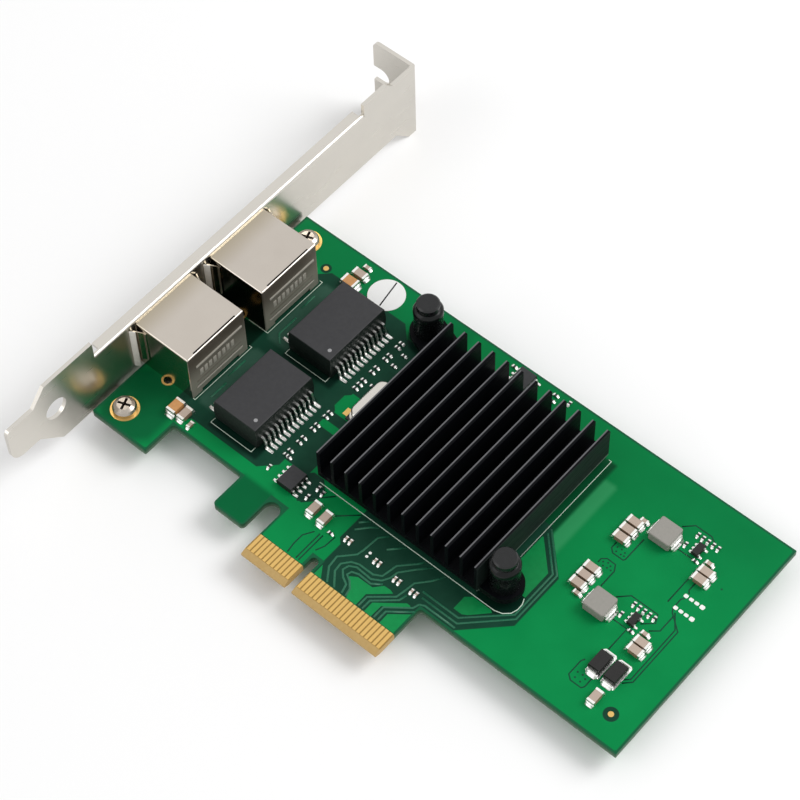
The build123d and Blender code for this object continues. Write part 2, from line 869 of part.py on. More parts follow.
def crystal():
    """Metal can crystal on its insulating base, beside the heat sink."""
    with BuildPart() as base:
        with BuildSketch(Plane.XY):
            with Locations((crystal_x, crystal_y)):
                Rectangle(crystal_width, crystal_length)
        extrude(amount=crystal_base)
    save(base, "crystal_base")
    with BuildPart() as can:
        with BuildSketch(Plane.XY.offset(crystal_base)):
            with Locations((crystal_x, crystal_y)):
                SlotOverall(crystal_length, crystal_width, rotation=90)
        extrude(amount=0.35)
        with BuildSketch(Plane.XY.offset(crystal_base)):
            with Locations((crystal_x, crystal_y)):
                SlotOverall(crystal_length - 0.7, crystal_width - 0.7, rotation=90)
        extrude(amount=crystal_height - crystal_base)
        chamfer(can.faces().sort_by(Axis.Z)[-1].edges(), 0.3)
    save(can, "crystal_can")


def inductors():
    """Moulded power inductors with a terminal clip at each end."""
    thick = inductor_terminal_thick
    with BuildPart() as cores:
        for x, y in inductor_at:
            with BuildSketch(Plane.XY.offset(thick)):
                with Locations((x, y)):
                    Rectangle(inductor_size, inductor_size)
            extrude(amount=inductor_height - thick)
        fillet(cores.edges().filter_by(Axis.Z), 0.4)
        chamfer(cores.edges().filter_by(lambda e: abs(e.center().Z - inductor_height) < 1e-6), 0.15)
    save(cores, "inductor_cores")
    with BuildPart() as clips:
        for x, y in inductor_at:
            for out in (-1, 1):
                edge = x + out * inductor_size / 2
                with BuildSketch(Plane.XZ.offset(-y)):
                    with BuildLine():
                        Polyline(
                            (edge - out * inductor_terminal_reach, 0),
                            (edge + out * thick, 0),
                            (edge + out * thick, inductor_height * 0.62),
                            (edge, inductor_height * 0.62),
                            (edge, thick),
                            (edge - out * inductor_terminal_reach, thick),
                            close=True,
                        )
                    make_face()
                extrude(amount=inductor_terminal_width / 2, both=True)
    save(clips, "inductor_terminals")


def diodes():
    """Rectifier diodes with a folded terminal at each end."""
    thick = diode_terminal_thick
    split = diode_height * 0.5
    slant = 0.12
    with BuildPart() as bodies:
        for x, y in diodes_at:
            with BuildSketch(Plane.XY.offset(split)) as middle:
                with Locations((x, y)):
                    Rectangle(diode_width, diode_length)
            extrude(middle.sketch, amount=diode_height - split, taper=6)
            with BuildSketch(Plane.XY.offset(thick)):
                with Locations((x, y)):
                    Rectangle(diode_width - 2 * slant, diode_length - 2 * slant)
            extrude(amount=split - thick)
    save(bodies, "diode_bodies")
    with BuildPart() as clips:
        for x, y in diodes_at:
            for out in (-1, 1):
                edge = y + out * diode_length / 2
                with BuildSketch(Plane.YZ.offset(x)):
                    with BuildLine():
                        Polyline(
                            (edge - out * 1.0, 0),
                            (edge + out * thick, 0),
                            (edge + out * thick, split),
                            (edge, split),
                            (edge - out * slant, split),
                            (edge - out * slant, thick),
                            (edge - out * 1.0, thick),
                            close=True,
                        )
                    make_face()
                extrude(amount=diode_terminal / 2, both=True)
    save(clips, "diode_terminals")


def same_kind(places):
    """Chip parts of one size and direction together."""
    kinds = {}
    for x, y, size, along_y in places:
        kinds.setdefault((size, along_y), []).append((x, y))
    return kinds.items()


def chip_bodies(label, places):
    """Ceramic bodies of chip parts, each given by x, y, size and whether it lies along Y."""
    with BuildPart() as bodies:
        for (size, along_y), centres in same_kind(places):
            length, width, height, end = size
            with BuildSketch(Plane.XY.offset(cap_overhang)):
                with Locations(*centres):
                    Rectangle(length - 2 * end, width, rotation=90 if along_y else 0)
            extrude(amount=height - 2 * cap_overhang)
    save(bodies, label)


def chip_ends(label, places):
    """End caps of chip parts, wider than the bodies by the overhang."""
    with BuildPart() as ends:
        for (size, along_y), centres in same_kind(places):
            length, width, height, end = size
            shift = (length - end) / 2
            steps = ((0, -shift), (0, shift)) if along_y else ((-shift, 0), (shift, 0))
            with BuildSketch(Plane.XY):
                with Locations(*[(x + dx, y + dy) for x, y in centres for dx, dy in steps]):
                    Rectangle(end, width + 2 * cap_overhang, rotation=90 if along_y else 0)
            extrude(amount=height)
    save(ends, label)


# Places of the chip parts, beside the pieces that they serve
group_pitch = 2.15
capacitors = []
for core_x, core_y in inductor_at:
    left = core_x - inductor_size / 2 - large_cap[0] / 2 - 2.1
    low = core_y - 5.8 if core_y > 45 else core_y + 1.1
    capacitors += [(left, low + group_pitch * n, large_cap, False) for n in range(3)]
    beyond = low + 2.75 * group_pitch if core_y > 45 else low - 0.75 * group_pitch
    capacitors.append((left + 1.1, beyond, medium_chip, False))
for core_x, core_y in regulators_at:
    right = core_x + 4.2
    low = core_y - 5.15
    capacitors += [(right, low, large_cap, False), (right, low + group_pitch - 0.1, large_cap, False)]
    capacitors.append((right - 0.8, low + 4.1, medium_chip, False))
capacitors += [
    (59.2, 19.3, large_cap, True),
    (-7.6, 16.1, large_cap, True),
    (-4.5, 15.8, large_cap, True),
    (-42.0, 15.9, large_cap, True),
    (-39.6, 14.8, medium_chip, True),
    (-38.1, 64.3, large_cap, False),
    (-38.2, 66.7, medium_chip, False),
]
film_capacitors = [(-44.4, 15.8, wide_cap, True), (-38.2, 61.3, wide_cap, False)]
coupling = []
for pair_x, pair_y in ((2.0, 15.3), (9.5, 15.2), (15.0, 14.6), (19.2, 14.6)):
    coupling += [(pair_x - 0.55, pair_y, small_chip, True), (pair_x + 0.55, pair_y, small_chip, True)]
pins_end = magnetics_x + magnetics_width / 2 + pin_reach
sense_rows = (5.7, 4.7, 2.7, 1.7, -0.4, -1.5, -3.5, -4.5)
resistors = []
for module_y in magnetics_y:
    resistors += [(pins_end + 2.4, module_y + row * pin_pitch, small_chip, False) for row in sense_rows]
second_column = [magnetics_y[1] + row * pin_pitch for row in (4.1, 1.6, -3.5)]
resistors += [(pins_end + 4.8, y, small_chip, False) for y in second_column]
resistors.append((pins_end + 2.4, magnetics_y[1] - 5.5 * pin_pitch, small_chip, False))
for base_x, base_y in regulators_at:
    resistors += [(base_x - 2.1 + 1.2 * step, base_y + 2.8, small_chip, True) for step in range(5)]
    resistors.append((base_x - 2.7, base_y - 0.4, small_chip, True))
    resistors.append((base_x + 0.9, base_y - 2.2, small_chip, False))
resistors += [
    (-21.0, 17.8, small_chip, True),
    (-19.6, 21.9, small_chip, False),
    (-10.2, 20.3, small_chip, True),
    (-8.8, 19.9, small_chip, True),
    (-10.6, 17.5, small_chip, True),
    (-1.7, 14.2, small_chip, False),
    (0.8, 67.2, small_chip, False),
    (11.5, 67.1, small_chip, False),
    (11.7, 65.6, small_chip, False),
    (14.8, 67.3, small_chip, True),
]


def solder_lands():
    """Bare tinned lands left unpopulated near the free end."""
    with BuildPart() as lands:
        with BuildSketch(Plane.XY):
            with Locations(*[(x, y) for x in (58.9, 60.9, 62.8) for y in (44.1, 47.4)]):
                Rectangle(1.2, 0.75)
        extrude(amount=plating)
    save(lands, "solder_lands")


def inspection_label():
    """Round paper label beside the upper magnetics module."""
    with BuildPart() as label:
        with BuildSketch(Plane.XY):
            with Locations((label_x, label_y)):
                Circle(label_radius)
        extrude(amount=label_thick)
    save(label, "inspection_label")


circuit_board()
edge_contacts("contacts_component_side", 0)
edge_contacts("contacts_solder_side", board_under - plating)
plated_rings()
bracket()
bracket_screws()
for number, jack_centre in enumerate(jack_y, 1):
    jack_shield(f"jack_{number}_shield", jack_centre)
    jack_housing(f"jack_{number}_housing", jack_centre)
    jack_wires(f"jack_{number}_contacts", jack_centre)
    jack_lamps(f"jack_{number}_lamps", jack_centre)
for number, module_y in enumerate(magnetics_y, 1):
    magnetics(number, module_y)
controller()
heat_sink()
push_pins()
small_outline_chips()
regulators()
crystal()
inductors()
diodes()
chip_bodies("capacitor_bodies", capacitors)
chip_bodies("film_capacitor_bodies", film_capacitors)
chip_ends("capacitor_ends", capacitors + film_capacitors)
chip_bodies("coupling_capacitor_bodies", coupling)
chip_bodies("resistor_bodies", resistors)
chip_ends("small_chip_ends", coupling + resistors)
solder_lands()
inspection_label()
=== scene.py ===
"""Looks of the dual-port network card: finishes, print, copper relief, solder, light, camera."""

import bmesh
import bpy
from mathutils import Matrix, Vector


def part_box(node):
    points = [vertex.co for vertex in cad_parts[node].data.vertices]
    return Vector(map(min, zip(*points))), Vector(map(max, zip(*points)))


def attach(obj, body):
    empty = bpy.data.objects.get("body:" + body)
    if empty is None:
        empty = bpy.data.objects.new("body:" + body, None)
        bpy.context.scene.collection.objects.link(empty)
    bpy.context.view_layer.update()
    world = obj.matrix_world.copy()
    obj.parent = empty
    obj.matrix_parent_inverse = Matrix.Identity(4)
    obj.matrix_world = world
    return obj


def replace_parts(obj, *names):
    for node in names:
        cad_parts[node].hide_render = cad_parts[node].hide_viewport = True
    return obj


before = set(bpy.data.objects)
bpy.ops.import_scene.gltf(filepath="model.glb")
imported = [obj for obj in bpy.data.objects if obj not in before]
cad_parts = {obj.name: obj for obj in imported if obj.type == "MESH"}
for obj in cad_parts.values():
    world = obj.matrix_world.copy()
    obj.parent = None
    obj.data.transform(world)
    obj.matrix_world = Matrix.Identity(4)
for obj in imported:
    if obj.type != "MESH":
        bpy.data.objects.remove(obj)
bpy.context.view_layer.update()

MM = 0.001
HALF_TURN = 3.14159265
DIAGONAL = 0.7071
FLOOR_LEVEL = -5.62 * MM
WHITE = (1.0, 1.0, 1.0)
NUMBERS = (1, 2)


# Finishes


class Finish:
    """A surface finish: one principled shader with the texture nodes that feed it."""

    # Places of the colour sockets on a Mix node
    FIRST_COLOUR, SECOND_COLOUR, MIXED_COLOUR = 6, 7, 2

    def __init__(self, name, colour, roughness, metallic=0.0, levels=None):
        self.material = bpy.data.materials.new(name)
        self.material.use_nodes = True
        self.nodes = self.material.node_tree.nodes
        self.links = self.material.node_tree.links
        self.shader = self.nodes["Principled BSDF"]
        self.shader.inputs["Base Color"].default_value = (*colour, 1.0)
        self.shader.inputs["Roughness"].default_value = roughness
        self.shader.inputs["Metallic"].default_value = metallic
        for socket, value in (levels or {}).items():
            self.shader.inputs[socket].default_value = value
        self.place = self.nodes.new("ShaderNodeTexCoord").outputs["Object"]
        self.heights = None

    def feed(self, socket, value):
        """Links an output to a socket, or sets the socket's own number."""
        if isinstance(value, bpy.types.NodeSocket):
            self.links.new(value, socket)
        elif isinstance(value, tuple) and len(value) == 3 and len(socket.default_value) == 4:
            socket.default_value = (*value, 1.0)
        else:
            socket.default_value = value

    def stretched(self, scale):
        """Object coordinates, scaled along each axis."""
        mapping = self.nodes.new("ShaderNodeMapping")
        mapping.inputs["Scale"].default_value = scale
        self.links.new(self.place, mapping.inputs["Vector"])
        return mapping.outputs["Vector"]

    def noise(self, size_mm, detail=3.0, stretch=(1, 1, 1), roughness=0.5):
        """Noise with blotches of about the given size in millimetres."""
        texture = self.nodes.new("ShaderNodeTexNoise")
        texture.inputs["Scale"].default_value = 1.0 / (size_mm * MM)
        texture.inputs["Detail"].default_value = detail
        texture.inputs["Roughness"].default_value = roughness
        self.links.new(self.stretched(stretch), texture.inputs["Vector"])
        return texture.outputs["Fac"]

    def maths(self, operation, first, second=0.0):
        """One sum of two values or numbers."""
        node = self.nodes.new("ShaderNodeMath")
        node.operation = operation
        self.feed(node.inputs[0], first)
        self.feed(node.inputs[1], second)
        return node.outputs["Value"]

    def ranged(self, value, low, high, out_low=0.0, out_high=1.0):
        """Carries a value from one range to another with soft ends."""
        node = self.nodes.new("ShaderNodeMapRange")
        node.interpolation_type = "SMOOTHSTEP"
        self.feed(node.inputs["Value"], value)
        node.inputs["From Min"].default_value = low
        node.inputs["From Max"].default_value = high
        node.inputs["To Min"].default_value = out_low
        node.inputs["To Max"].default_value = out_high
        return node.outputs["Result"]

    def blend(self, factor, first, second):
        """Mixes two colours by a factor."""
        node = self.nodes.new("ShaderNodeMix")
        node.data_type = "RGBA"
        self.feed(node.inputs["Factor"], factor)
        self.feed(node.inputs[self.FIRST_COLOUR], first)
        self.feed(node.inputs[self.SECOND_COLOUR], second)
        return node.outputs[self.MIXED_COLOUR]

    def over(self, area, strength, side, under, colour):
        """Colour laid over another on one side of the board, in an area and at a strength."""
        share = self.maths("MULTIPLY", self.maths("MULTIPLY", area, strength), side)
        return self.blend(share, under, colour)

    def axes(self):
        """The three object coordinates on their own."""
        node = self.nodes.new("ShaderNodeSeparateXYZ")
        self.links.new(self.place, node.inputs["Vector"])
        return node.outputs

    def upward(self):
        """The height of the surface normal, from -1 below to 1 above."""
        geometry = self.nodes.new("ShaderNodeNewGeometry")
        node = self.nodes.new("ShaderNodeSeparateXYZ")
        self.links.new(geometry.outputs["Normal"], node.inputs["Vector"])
        return node.outputs["Z"]

    def patch(self, low, high, corner=0.0, soft=0.12):
        """1 inside a rectangle given in millimetres, with its corners cut off."""
        x, y, _ = self.axes()
        half = [(high[i] - low[i]) / 2 * MM for i in (0, 1)]
        middle = [(high[i] + low[i]) / 2 * MM for i in (0, 1)]
        across = self.maths("ABSOLUTE", self.maths("SUBTRACT", x, middle[0]))
        along = self.maths("ABSOLUTE", self.maths("SUBTRACT", y, middle[1]))
        past_side = self.maths("SUBTRACT", across, half[0])
        past_end = self.maths("SUBTRACT", along, half[1])
        outside = self.maths("MAXIMUM", past_side, past_end)
        if corner:
            reach = half[0] + half[1] - corner * MM
            cut = self.maths("SUBTRACT", self.maths("ADD", across, along), reach)
            outside = self.maths("MAXIMUM", outside, self.maths("MULTIPLY", cut, DIAGONAL))
        return self.ranged(outside, -soft * MM, soft * MM, 1.0, 0.0)

    def patches(self, areas):
        """1 inside any of the rectangles, each given as patch takes it."""
        return self.either(*(self.patch(*area) for area in areas))

    def disc(self, centre, radius, soft=0.08):
        """1 inside a circle given in millimetres."""
        x, y, _ = self.axes()
        across = self.maths("SUBTRACT", x, centre[0] * MM)
        along = self.maths("SUBTRACT", y, centre[1] * MM)
        across_squared = self.maths("MULTIPLY", across, across)
        along_squared = self.maths("MULTIPLY", along, along)
        distance = self.maths("SQRT", self.maths("ADD", across_squared, along_squared))
        return self.ranged(distance, (radius - soft) * MM, (radius + soft) * MM, 1.0, 0.0)

    def either(self, *masks):
        """1 where any of the masks is 1."""
        result = masks[0]
        for mask in masks[1:]:
            result = self.maths("MAXIMUM", result, mask)
        return result

    def without(self, mask, other):
        """The mask with another one taken out of it."""
        return self.maths("MULTIPLY", mask, self.maths("SUBTRACT", 1.0, other))

    def paint(self, colour):
        """Gives the surface its colour."""
        self.feed(self.shader.inputs["Base Color"], colour)

    def dull(self, value):
        """Gives the surface its roughness."""
        self.feed(self.shader.inputs["Roughness"], value)

    def bump(self, height, depth_mm, strength=1.0):
        """Adds fine relief; a second call lies on top of the first."""
        node = self.nodes.new("ShaderNodeBump")
        node.inputs["Strength"].default_value = strength
        node.inputs["Distance"].default_value = depth_mm * MM
        self.links.new(height, node.inputs["Height"])
        if self.heights:
            self.links.new(self.heights, node.inputs["Normal"])
        self.heights = node.outputs["Normal"]
        self.links.new(self.heights, self.shader.inputs["Normal"])


# Zones of the board's mask in millimetres: low corner, high corner, corner cut off, softness
BARE_ZONES = (
    ((-46.4, 16.25), (-19.9, 61.2), 3.2),
    ((-46.4, 15.4), (-40.2, 22.0), 1.2),
    ((-20.6, 21.2), (-14.0, 35.7), 0.6),
    ((-20.6, 41.4), (-14.0, 58.6), 0.6),
    ((-15.4, 15.8), (-8.8, 22.6), 2.0),
    ((1.3, 5.3), (22.6, 13.8)),
    ((0.2, 13.6), (24.0, 24.0), 1.2),
    ((10.0, 13.3), (38.2, 43.0), 8.2),
)
COPPER_INSIDE_BARE = (((-20.9, 35.7), (-14.0, 41.3), 1.3), ((-20.5, 31.5), (-14.0, 33.3), 0.3))
BARE_BELOW = ((-44.6, 17.0), (-21.0, 60.4), 3.0)
HOLE_CLEARANCE = ((63.4, 18.7), 1.55)
ROUND_MARK_CLEARANCE = ((-44.9, 61.3), 1.2)
COPPER_ZONES = (
    ((-56.7, 13.35), (68.65, 68.45), 0.3, 0.08),
    ((-56.7, 5.3), (-42.9, 40.0), 0.3, 0.08),
    ((-23.4, 4.9), (-16.4, 40.0), 0.3, 0.08),
    ((-11.7, 5.6), (-1.5, 40.0), 0.2, 0.08),
    ((1.5, 5.6), (21.8, 40.0), 0.2, 0.08),
    ((-11.7, 8.9), (21.8, 40.0), 0.2, 0.08),
)
BESIDE_CONTACTS = ((-13.0, -1.0), (23.0, 5.45), 0.0, 0.04)
# Painted shade in the gap that separates the two jacks
SHADE_BETWEEN_JACKS = ((-57.5, 36.2), (-43.8, 41.3), 0.1, 0.3)
# Painted shadow discs around the push pins: centre, radius, softness
EAR_SHADES = (((31.7, 25.2), 4.6, 0.5), ((-17.0, 61.2), 4.4, 0.5))

# Tints of the component side, several of them painted shade and painted reflection: zones, strength
# and colour
POUR_TINTS = (
    # Painted shade on two areas of the pour
    ((((-58, 4.0), (-43.5, 20.5), 3, 1.6), ((-24.5, 3), (-15.4, 13.5), 1, 0.8)), 0.7,
     (0.001, 0.068, 0.026)),
    ((((-58, 60.5), (-10, 70), 1, 1.2),), 0.45, (0.002, 0.120, 0.040)),
    ((((-12, 56.0), (72, 76), 3, 14.0),), 0.5, (0.001, 0.120, 0.034)),
    # Painted reflection: a lighter streak on the mask right of the heat sink
    ((((31.0, 24), (34.2, 58.0), 0.5, 0.7),), 0.5, (0.055, 0.36, 0.145)),
    # Painted shade on the mask along the heat sink's outer wall
    ((((27.0, 20.0), (31.1, 62.0), 0.3, 0.5),), 0.8, (0.002, 0.030, 0.013)),
)
# Painted reflection of the jacks' rear walls on the mask in front of them
WALL_REFLECTION_TINTS = (
    ((((-43.0, 20.2), (-36.4, 37.2), 1, 0.7), ((-43.0, 40.5), (-36.4, 58.2), 1, 0.7)), 0.8,
     (0.040, 0.105, 0.072)),
)


def solder_mask():
    """Green mask: bright over the copper pour, dark over bare laminate, tan beside the contacts,
    with painted shade, shadows and reflections laid over it.
    """
    finish = Finish(
        "green_solder_mask", (0.002, 0.22, 0.056), 0.36, levels={"Specular IOR Level": 0.06}
    )
    _, y, z = finish.axes()
    component_side = finish.ranged(z, -0.5 * MM, -0.2 * MM)

    def tinted(colour, tints):
        for zones, strength, tint in tints:
            colour = finish.over(finish.patches(zones), strength, component_side, colour, tint)
        return colour

    colour = finish.blend(finish.noise(9, 3), (0.001, 0.205, 0.052), (0.003, 0.262, 0.070))
    # Painted shade and a painted reflection streak laid over the pour
    colour = tinted(colour, POUR_TINTS)

    bare = finish.either(
        finish.patches(BARE_ZONES),
        finish.disc(*HOLE_CLEARANCE),
        finish.disc(*ROUND_MARK_CLEARANCE),
    )
    for zone in COPPER_INSIDE_BARE:
        bare = finish.without(bare, finish.patch(*zone))
    bare_below = finish.either(finish.patch(*BARE_BELOW), finish.disc(*HOLE_CLEARANCE))
    dark = finish.blend(finish.noise(3, 4), (0.005, 0.040, 0.022), (0.012, 0.063, 0.037))
    colour = finish.blend(finish.blend(component_side, bare_below, bare), colour, dark)
    # Painted reflection of the jacks' rear walls
    colour = tinted(colour, WALL_REFLECTION_TINTS)

    # Painted shadow of each magnetics body on the mask beside it
    for number in NUMBERS:
        low, high = (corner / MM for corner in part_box(f"magnetics_{number}_body"))
        near_low, near_high = (low.x - 0.2, low.y - 2.0), (high.x + 1.2, high.y - 0.5)
        magnetics_shadow = finish.patch(near_low, near_high, 0.3, 0.5)
        colour = finish.over(magnetics_shadow, 0.9, component_side, colour, (0.002, 0.014, 0.009))
    # Painted shadow on the mask around the push pins
    painted_pin_shadow = finish.either(*(finish.disc(*shade) for shade in EAR_SHADES))
    colour = finish.over(painted_pin_shadow, 0.85, component_side, colour, (0.001, 0.012, 0.007))
    # Painted shade on the mask in the gap that separates the jacks
    painted_jack_gap_shade = finish.patch(*SHADE_BETWEEN_JACKS)
    colour = finish.over(painted_jack_gap_shade, 1.0, component_side, colour, (0.001, 0.014, 0.007))
    colour = finish.blend(finish.patches(COPPER_ZONES), (0.010, 0.105, 0.045), colour)

    flat = finish.ranged(finish.maths("ABSOLUTE", finish.upward()), 0.955, 0.985)
    fibres = finish.noise(0.5, 4, (0.2, 0.2, 3))
    upper_edge = finish.blend(fibres, (0.012, 0.070, 0.030), (0.024, 0.115, 0.052))
    above_middle = finish.ranged(z, -1.4 * MM, -0.4 * MM)
    laminate = finish.blend(above_middle, (0.105, 0.165, 0.110), upper_edge)
    colour = finish.blend(flat, laminate, colour)

    tan = finish.blend(finish.noise(0.7, 4), (0.46, 0.30, 0.115), (0.56, 0.39, 0.165))
    gaps = finish.blend(flat, tan, (0.33, 0.205, 0.060))
    gaps = finish.blend(finish.ranged(y, 1.1 * MM, 1.5 * MM, 1.0, 0.0), gaps, tan)
    finish.paint(finish.blend(finish.patch(*BESIDE_CONTACTS), colour, gaps))
    finish.bump(finish.noise(1.6, 3), 0.010, 0.4)
    finish.dull(finish.ranged(finish.noise(2.2, 3), 0.3, 0.7, 0.30, 0.42))
    return finish


def nickel_shield():
    """Jack shield: bright nickel on top and at the sides, duller and browner on the rear wall, with
    a painted dark reflection on the second jack's side that faces the first.
    """
    finish = Finish("bright_nickel_shield", (0.57, 0.52, 0.46), 0.17, 1.0)
    x, y, z = finish.axes()
    on_rear_wall = finish.ranged(x, (REAR_WALL - 0.22) * MM, (REAR_WALL - 0.12) * MM)
    below_roof = finish.ranged(z, 12.75 * MM, 12.9 * MM, 1.0, 0.0)
    rear = finish.maths("MULTIPLY", on_rear_wall, below_roof)
    up_the_wall = finish.ranged(z, 2.5 * MM, 11.5 * MM)
    wall = finish.blend(up_the_wall, (0.30, 0.285, 0.235), (0.085, 0.070, 0.052))
    cloud = finish.blend(finish.noise(8, 2), (0.53, 0.48, 0.425), (0.60, 0.55, 0.49))
    warm = finish.ranged(x, (REAR_WALL - 14.5) * MM, (REAR_WALL - 8.5) * MM, 0.75, 0.0)
    cloud = finish.blend(warm, cloud, (0.40, 0.345, 0.245))
    # Painted dark reflection on the second jack's side that faces the first
    from_inner_side = finish.maths("ABSOLUTE", finish.maths("SUBTRACT", y, INNER_SIDE * MM))
    painted_dark_reflection = finish.ranged(from_inner_side, 0.1 * MM, 0.2 * MM, 1.0, 0.0)
    painted_dark_reflection = finish.maths("MULTIPLY", finish.maths("MULTIPLY", painted_dark_reflection, below_roof), 0.85)
    cloud = finish.blend(painted_dark_reflection, cloud, (0.035, 0.028, 0.016))
    finish.paint(finish.blend(rear, cloud, wall))
    finish.feed(finish.shader.inputs["Metallic"], finish.ranged(rear, 0.0, 1.0, 1.0, 0.35))
    finish.dull(finish.ranged(rear, 0.0, 1.0, 0.17, 0.46))
    finish.bump(finish.noise(0.9, 4, (0.15, 1, 1)), 0.0012, 0.5)
    return finish


def screw_nickel():
    """Nickel-plated screw with painted shade in its driving recess."""
    nickel = (0.43, 0.385, 0.335)
    finish = Finish("nickel_plated_screw", nickel, 0.27, 1.0)
    _, _, z = finish.axes()
    # Painted shade inside the driving recess, below the face of the head
    below_face = finish.ranged(z, 1.30 * MM, 1.62 * MM, 1.0, 0.0)
    inside = finish.either(*(finish.disc(place, RECESS_RADIUS) for place in SCREW_PLACES))
    recess = finish.maths("MULTIPLY", inside, below_face)
    finish.paint(finish.blend(recess, nickel, (0.030, 0.018, 0.012)))
    finish.feed(finish.shader.inputs["Metallic"], finish.ranged(recess, 0.0, 1.0, 1.0, 0.2))
    finish.bump(finish.noise(0.5, 4), 0.006, 0.6)
    return finish


def metal(name, colour, roughness, spread, grain, depth, brushed=(1, 1, 1)):
    """Bare or plated metal, with brushed lines along one axis where brushed stretches them."""
    finish = Finish(name, colour, roughness, 1.0)
    lines = finish.noise(grain, 5, brushed, 0.65)
    cloud = finish.noise(7, 2)
    darker = tuple(c * 0.93 for c in colour)
    finish.paint(finish.blend(cloud, darker, colour))
    finish.dull(finish.ranged(lines, 0.3, 0.7, roughness - spread, roughness + spread))
    finish.bump(lines, depth, 0.6)
    return finish


def moulded(name, colour, roughness, grain=0.12, depth=0.006, specular=0.4, sides=None):
    """Moulded plastic or epoxy: fine grain, uneven tone and, where given, painted shade on the side
    faces.
    """
    finish = Finish(name, colour, roughness, levels={"Specular IOR Level": specular})
    lighter = tuple(min(1.0, c * 1.35 + 0.002) for c in colour)
    tone = finish.blend(finish.noise(1.1, 4), colour, lighter)
    # Painted shade on the faces that do not look up
    if sides:
        tone = finish.blend(finish.ranged(finish.upward(), 0.3, 0.9), sides, tone)
    finish.paint(tone)
    finish.dull(finish.ranged(finish.noise(0.6, 3), 0.3, 0.7, roughness - 0.06, roughness + 0.08))
    finish.bump(finish.noise(grain, 4), depth, 0.7)
    return finish


def ceramic(name, dark, light, roughness, top=None):
    """Fired ceramic with faint layers and, where top is given, painted light on the upper face."""
    finish = Finish(name, light, roughness)
    layers = finish.noise(0.25, 3, (0.4, 0.4, 3))
    colour = finish.blend(layers, dark, light)
    # Painted light on the upward faces
    if top:
        painted_top_light = finish.maths("MULTIPLY", finish.ranged(finish.upward(), 0.6, 0.95), 0.75)
        colour = finish.blend(painted_top_light, colour, top)
    finish.paint(colour)
    finish.bump(finish.noise(0.1, 3), 0.004, 0.6)
    finish.dull(finish.ranged(layers, 0.3, 0.7, roughness - 0.1, roughness + 0.1))
    return finish


def anodised():
    """Black anodised extrusion: near-black walls, drawing lines, a painted reflection and highlight
    on the outer wall, and a painted highlight on one edge of each fin.
    """
    finish = Finish(
        "black_anodised_extrusion", (0.003, 0.003, 0.004), 0.42, levels={"Specular IOR Level": 0.07}
    )
    lines = finish.noise(0.3, 4, (1, 0.05, 1), 0.6)
    walls = finish.blend(lines, (0.0008, 0.0012, 0.0018), (0.0026, 0.003, 0.004))
    x, _, z = finish.axes()
    # Painted reflection on the outer wall, with a painted highlight along its foot
    outer_wall = finish.patch(*OUTER_FIN)
    walls = finish.blend(outer_wall, walls, (0.012, 0.018, 0.016))
    near_foot = finish.ranged(z, 2.1 * MM, 2.3 * MM, 1.0, 0.0)
    walls = finish.blend(finish.maths("MULTIPLY", outer_wall, near_foot), walls, (0.12, 0.15, 0.13))
    # Painted highlight along the -X edge of each fin top
    fin_highlight = finish.blend(finish.noise(0.8, 3), (0.110, 0.110, 0.116), (0.165, 0.165, 0.175))
    across = finish.maths("DIVIDE", finish.maths("SUBTRACT", x, SINK_LEFT - 0.1 * MM), FIN_SPACING)
    highlight_edge = finish.ranged(finish.maths("FRACT", across), 0.095, 0.115, 1.0, 0.0)
    facing_up = finish.ranged(finish.upward(), 0.9, 0.98)
    at_top = finish.maths("MULTIPLY", facing_up, finish.ranged(z, 9.5 * MM, 9.9 * MM))
    finish.paint(finish.blend(finish.maths("MULTIPLY", at_top, highlight_edge), walls, fin_highlight))
    finish.dull(finish.ranged(lines, 0.3, 0.7, 0.34, 0.52))
    finish.bump(lines, 0.008, 0.5)
    return finish


def label_stock():
    """Matt paper of the round label."""
    finish = Finish("matt_label_paper", (0.82, 0.82, 0.80), 0.7)
    fibres = finish.noise(0.2, 5)
    finish.paint(finish.blend(fibres, (0.82, 0.82, 0.81), (0.88, 0.88, 0.87)))
    finish.bump(fibres, 0.004, 0.5)
    return finish


def clear_window():
    """Milky clear plastic of the lamp windows."""
    finish = Finish(
        "milky_lamp_window", (0.62, 0.66, 0.52), 0.3, levels={"Transmission Weight": 0.25}
    )
    finish.paint(finish.blend(finish.noise(0.8, 2), (0.56, 0.60, 0.46), (0.70, 0.73, 0.62)))
    finish.bump(finish.noise(0.3, 2), 0.004, 0.4)
    return finish


REAR_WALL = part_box("jack_1_shield")[1][0] / MM
MAGNETICS_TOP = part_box("magnetics_1_body")[1][2] / MM
INNER_SIDE = 41.46
SCREW_PLACES = ((-52.5, 9.4), (-52.5, 64.0))
RECESS_RADIUS = 1.62
SINK_LEFT = -11.7 * MM
FIN_SPACING = 3.6 * MM
# Outer wall of the heat sink, which gets a painted reflection and highlight
OUTER_FIN = ((28.55, 20.0), (28.9, 64.0))

GOLD = metal("gold_plating", (0.74, 0.48, 0.16), 0.36, 0.08, 0.25, 0.004, brushed=(1, 0.12, 1))
BRACKET = metal(
    "nickel_plated_bracket", (0.67, 0.64, 0.585), 0.29, 0.018, 0.8, 0.0003, brushed=(1, 0.08, 1)
)
SCREW = screw_nickel()
SHIELD = nickel_shield()
CAN = metal("drawn_can", (0.68, 0.65, 0.60), 0.3, spread=0.06, grain=0.6, depth=0.003)
TIN = metal("bright_tin", (0.92, 0.91, 0.88), 0.30, spread=0.1, grain=0.2, depth=0.006)
SOLDER = metal("solder_joint", (0.90, 0.90, 0.875), 0.3, spread=0.1, grain=0.35, depth=0.01)
MASK = solder_mask()
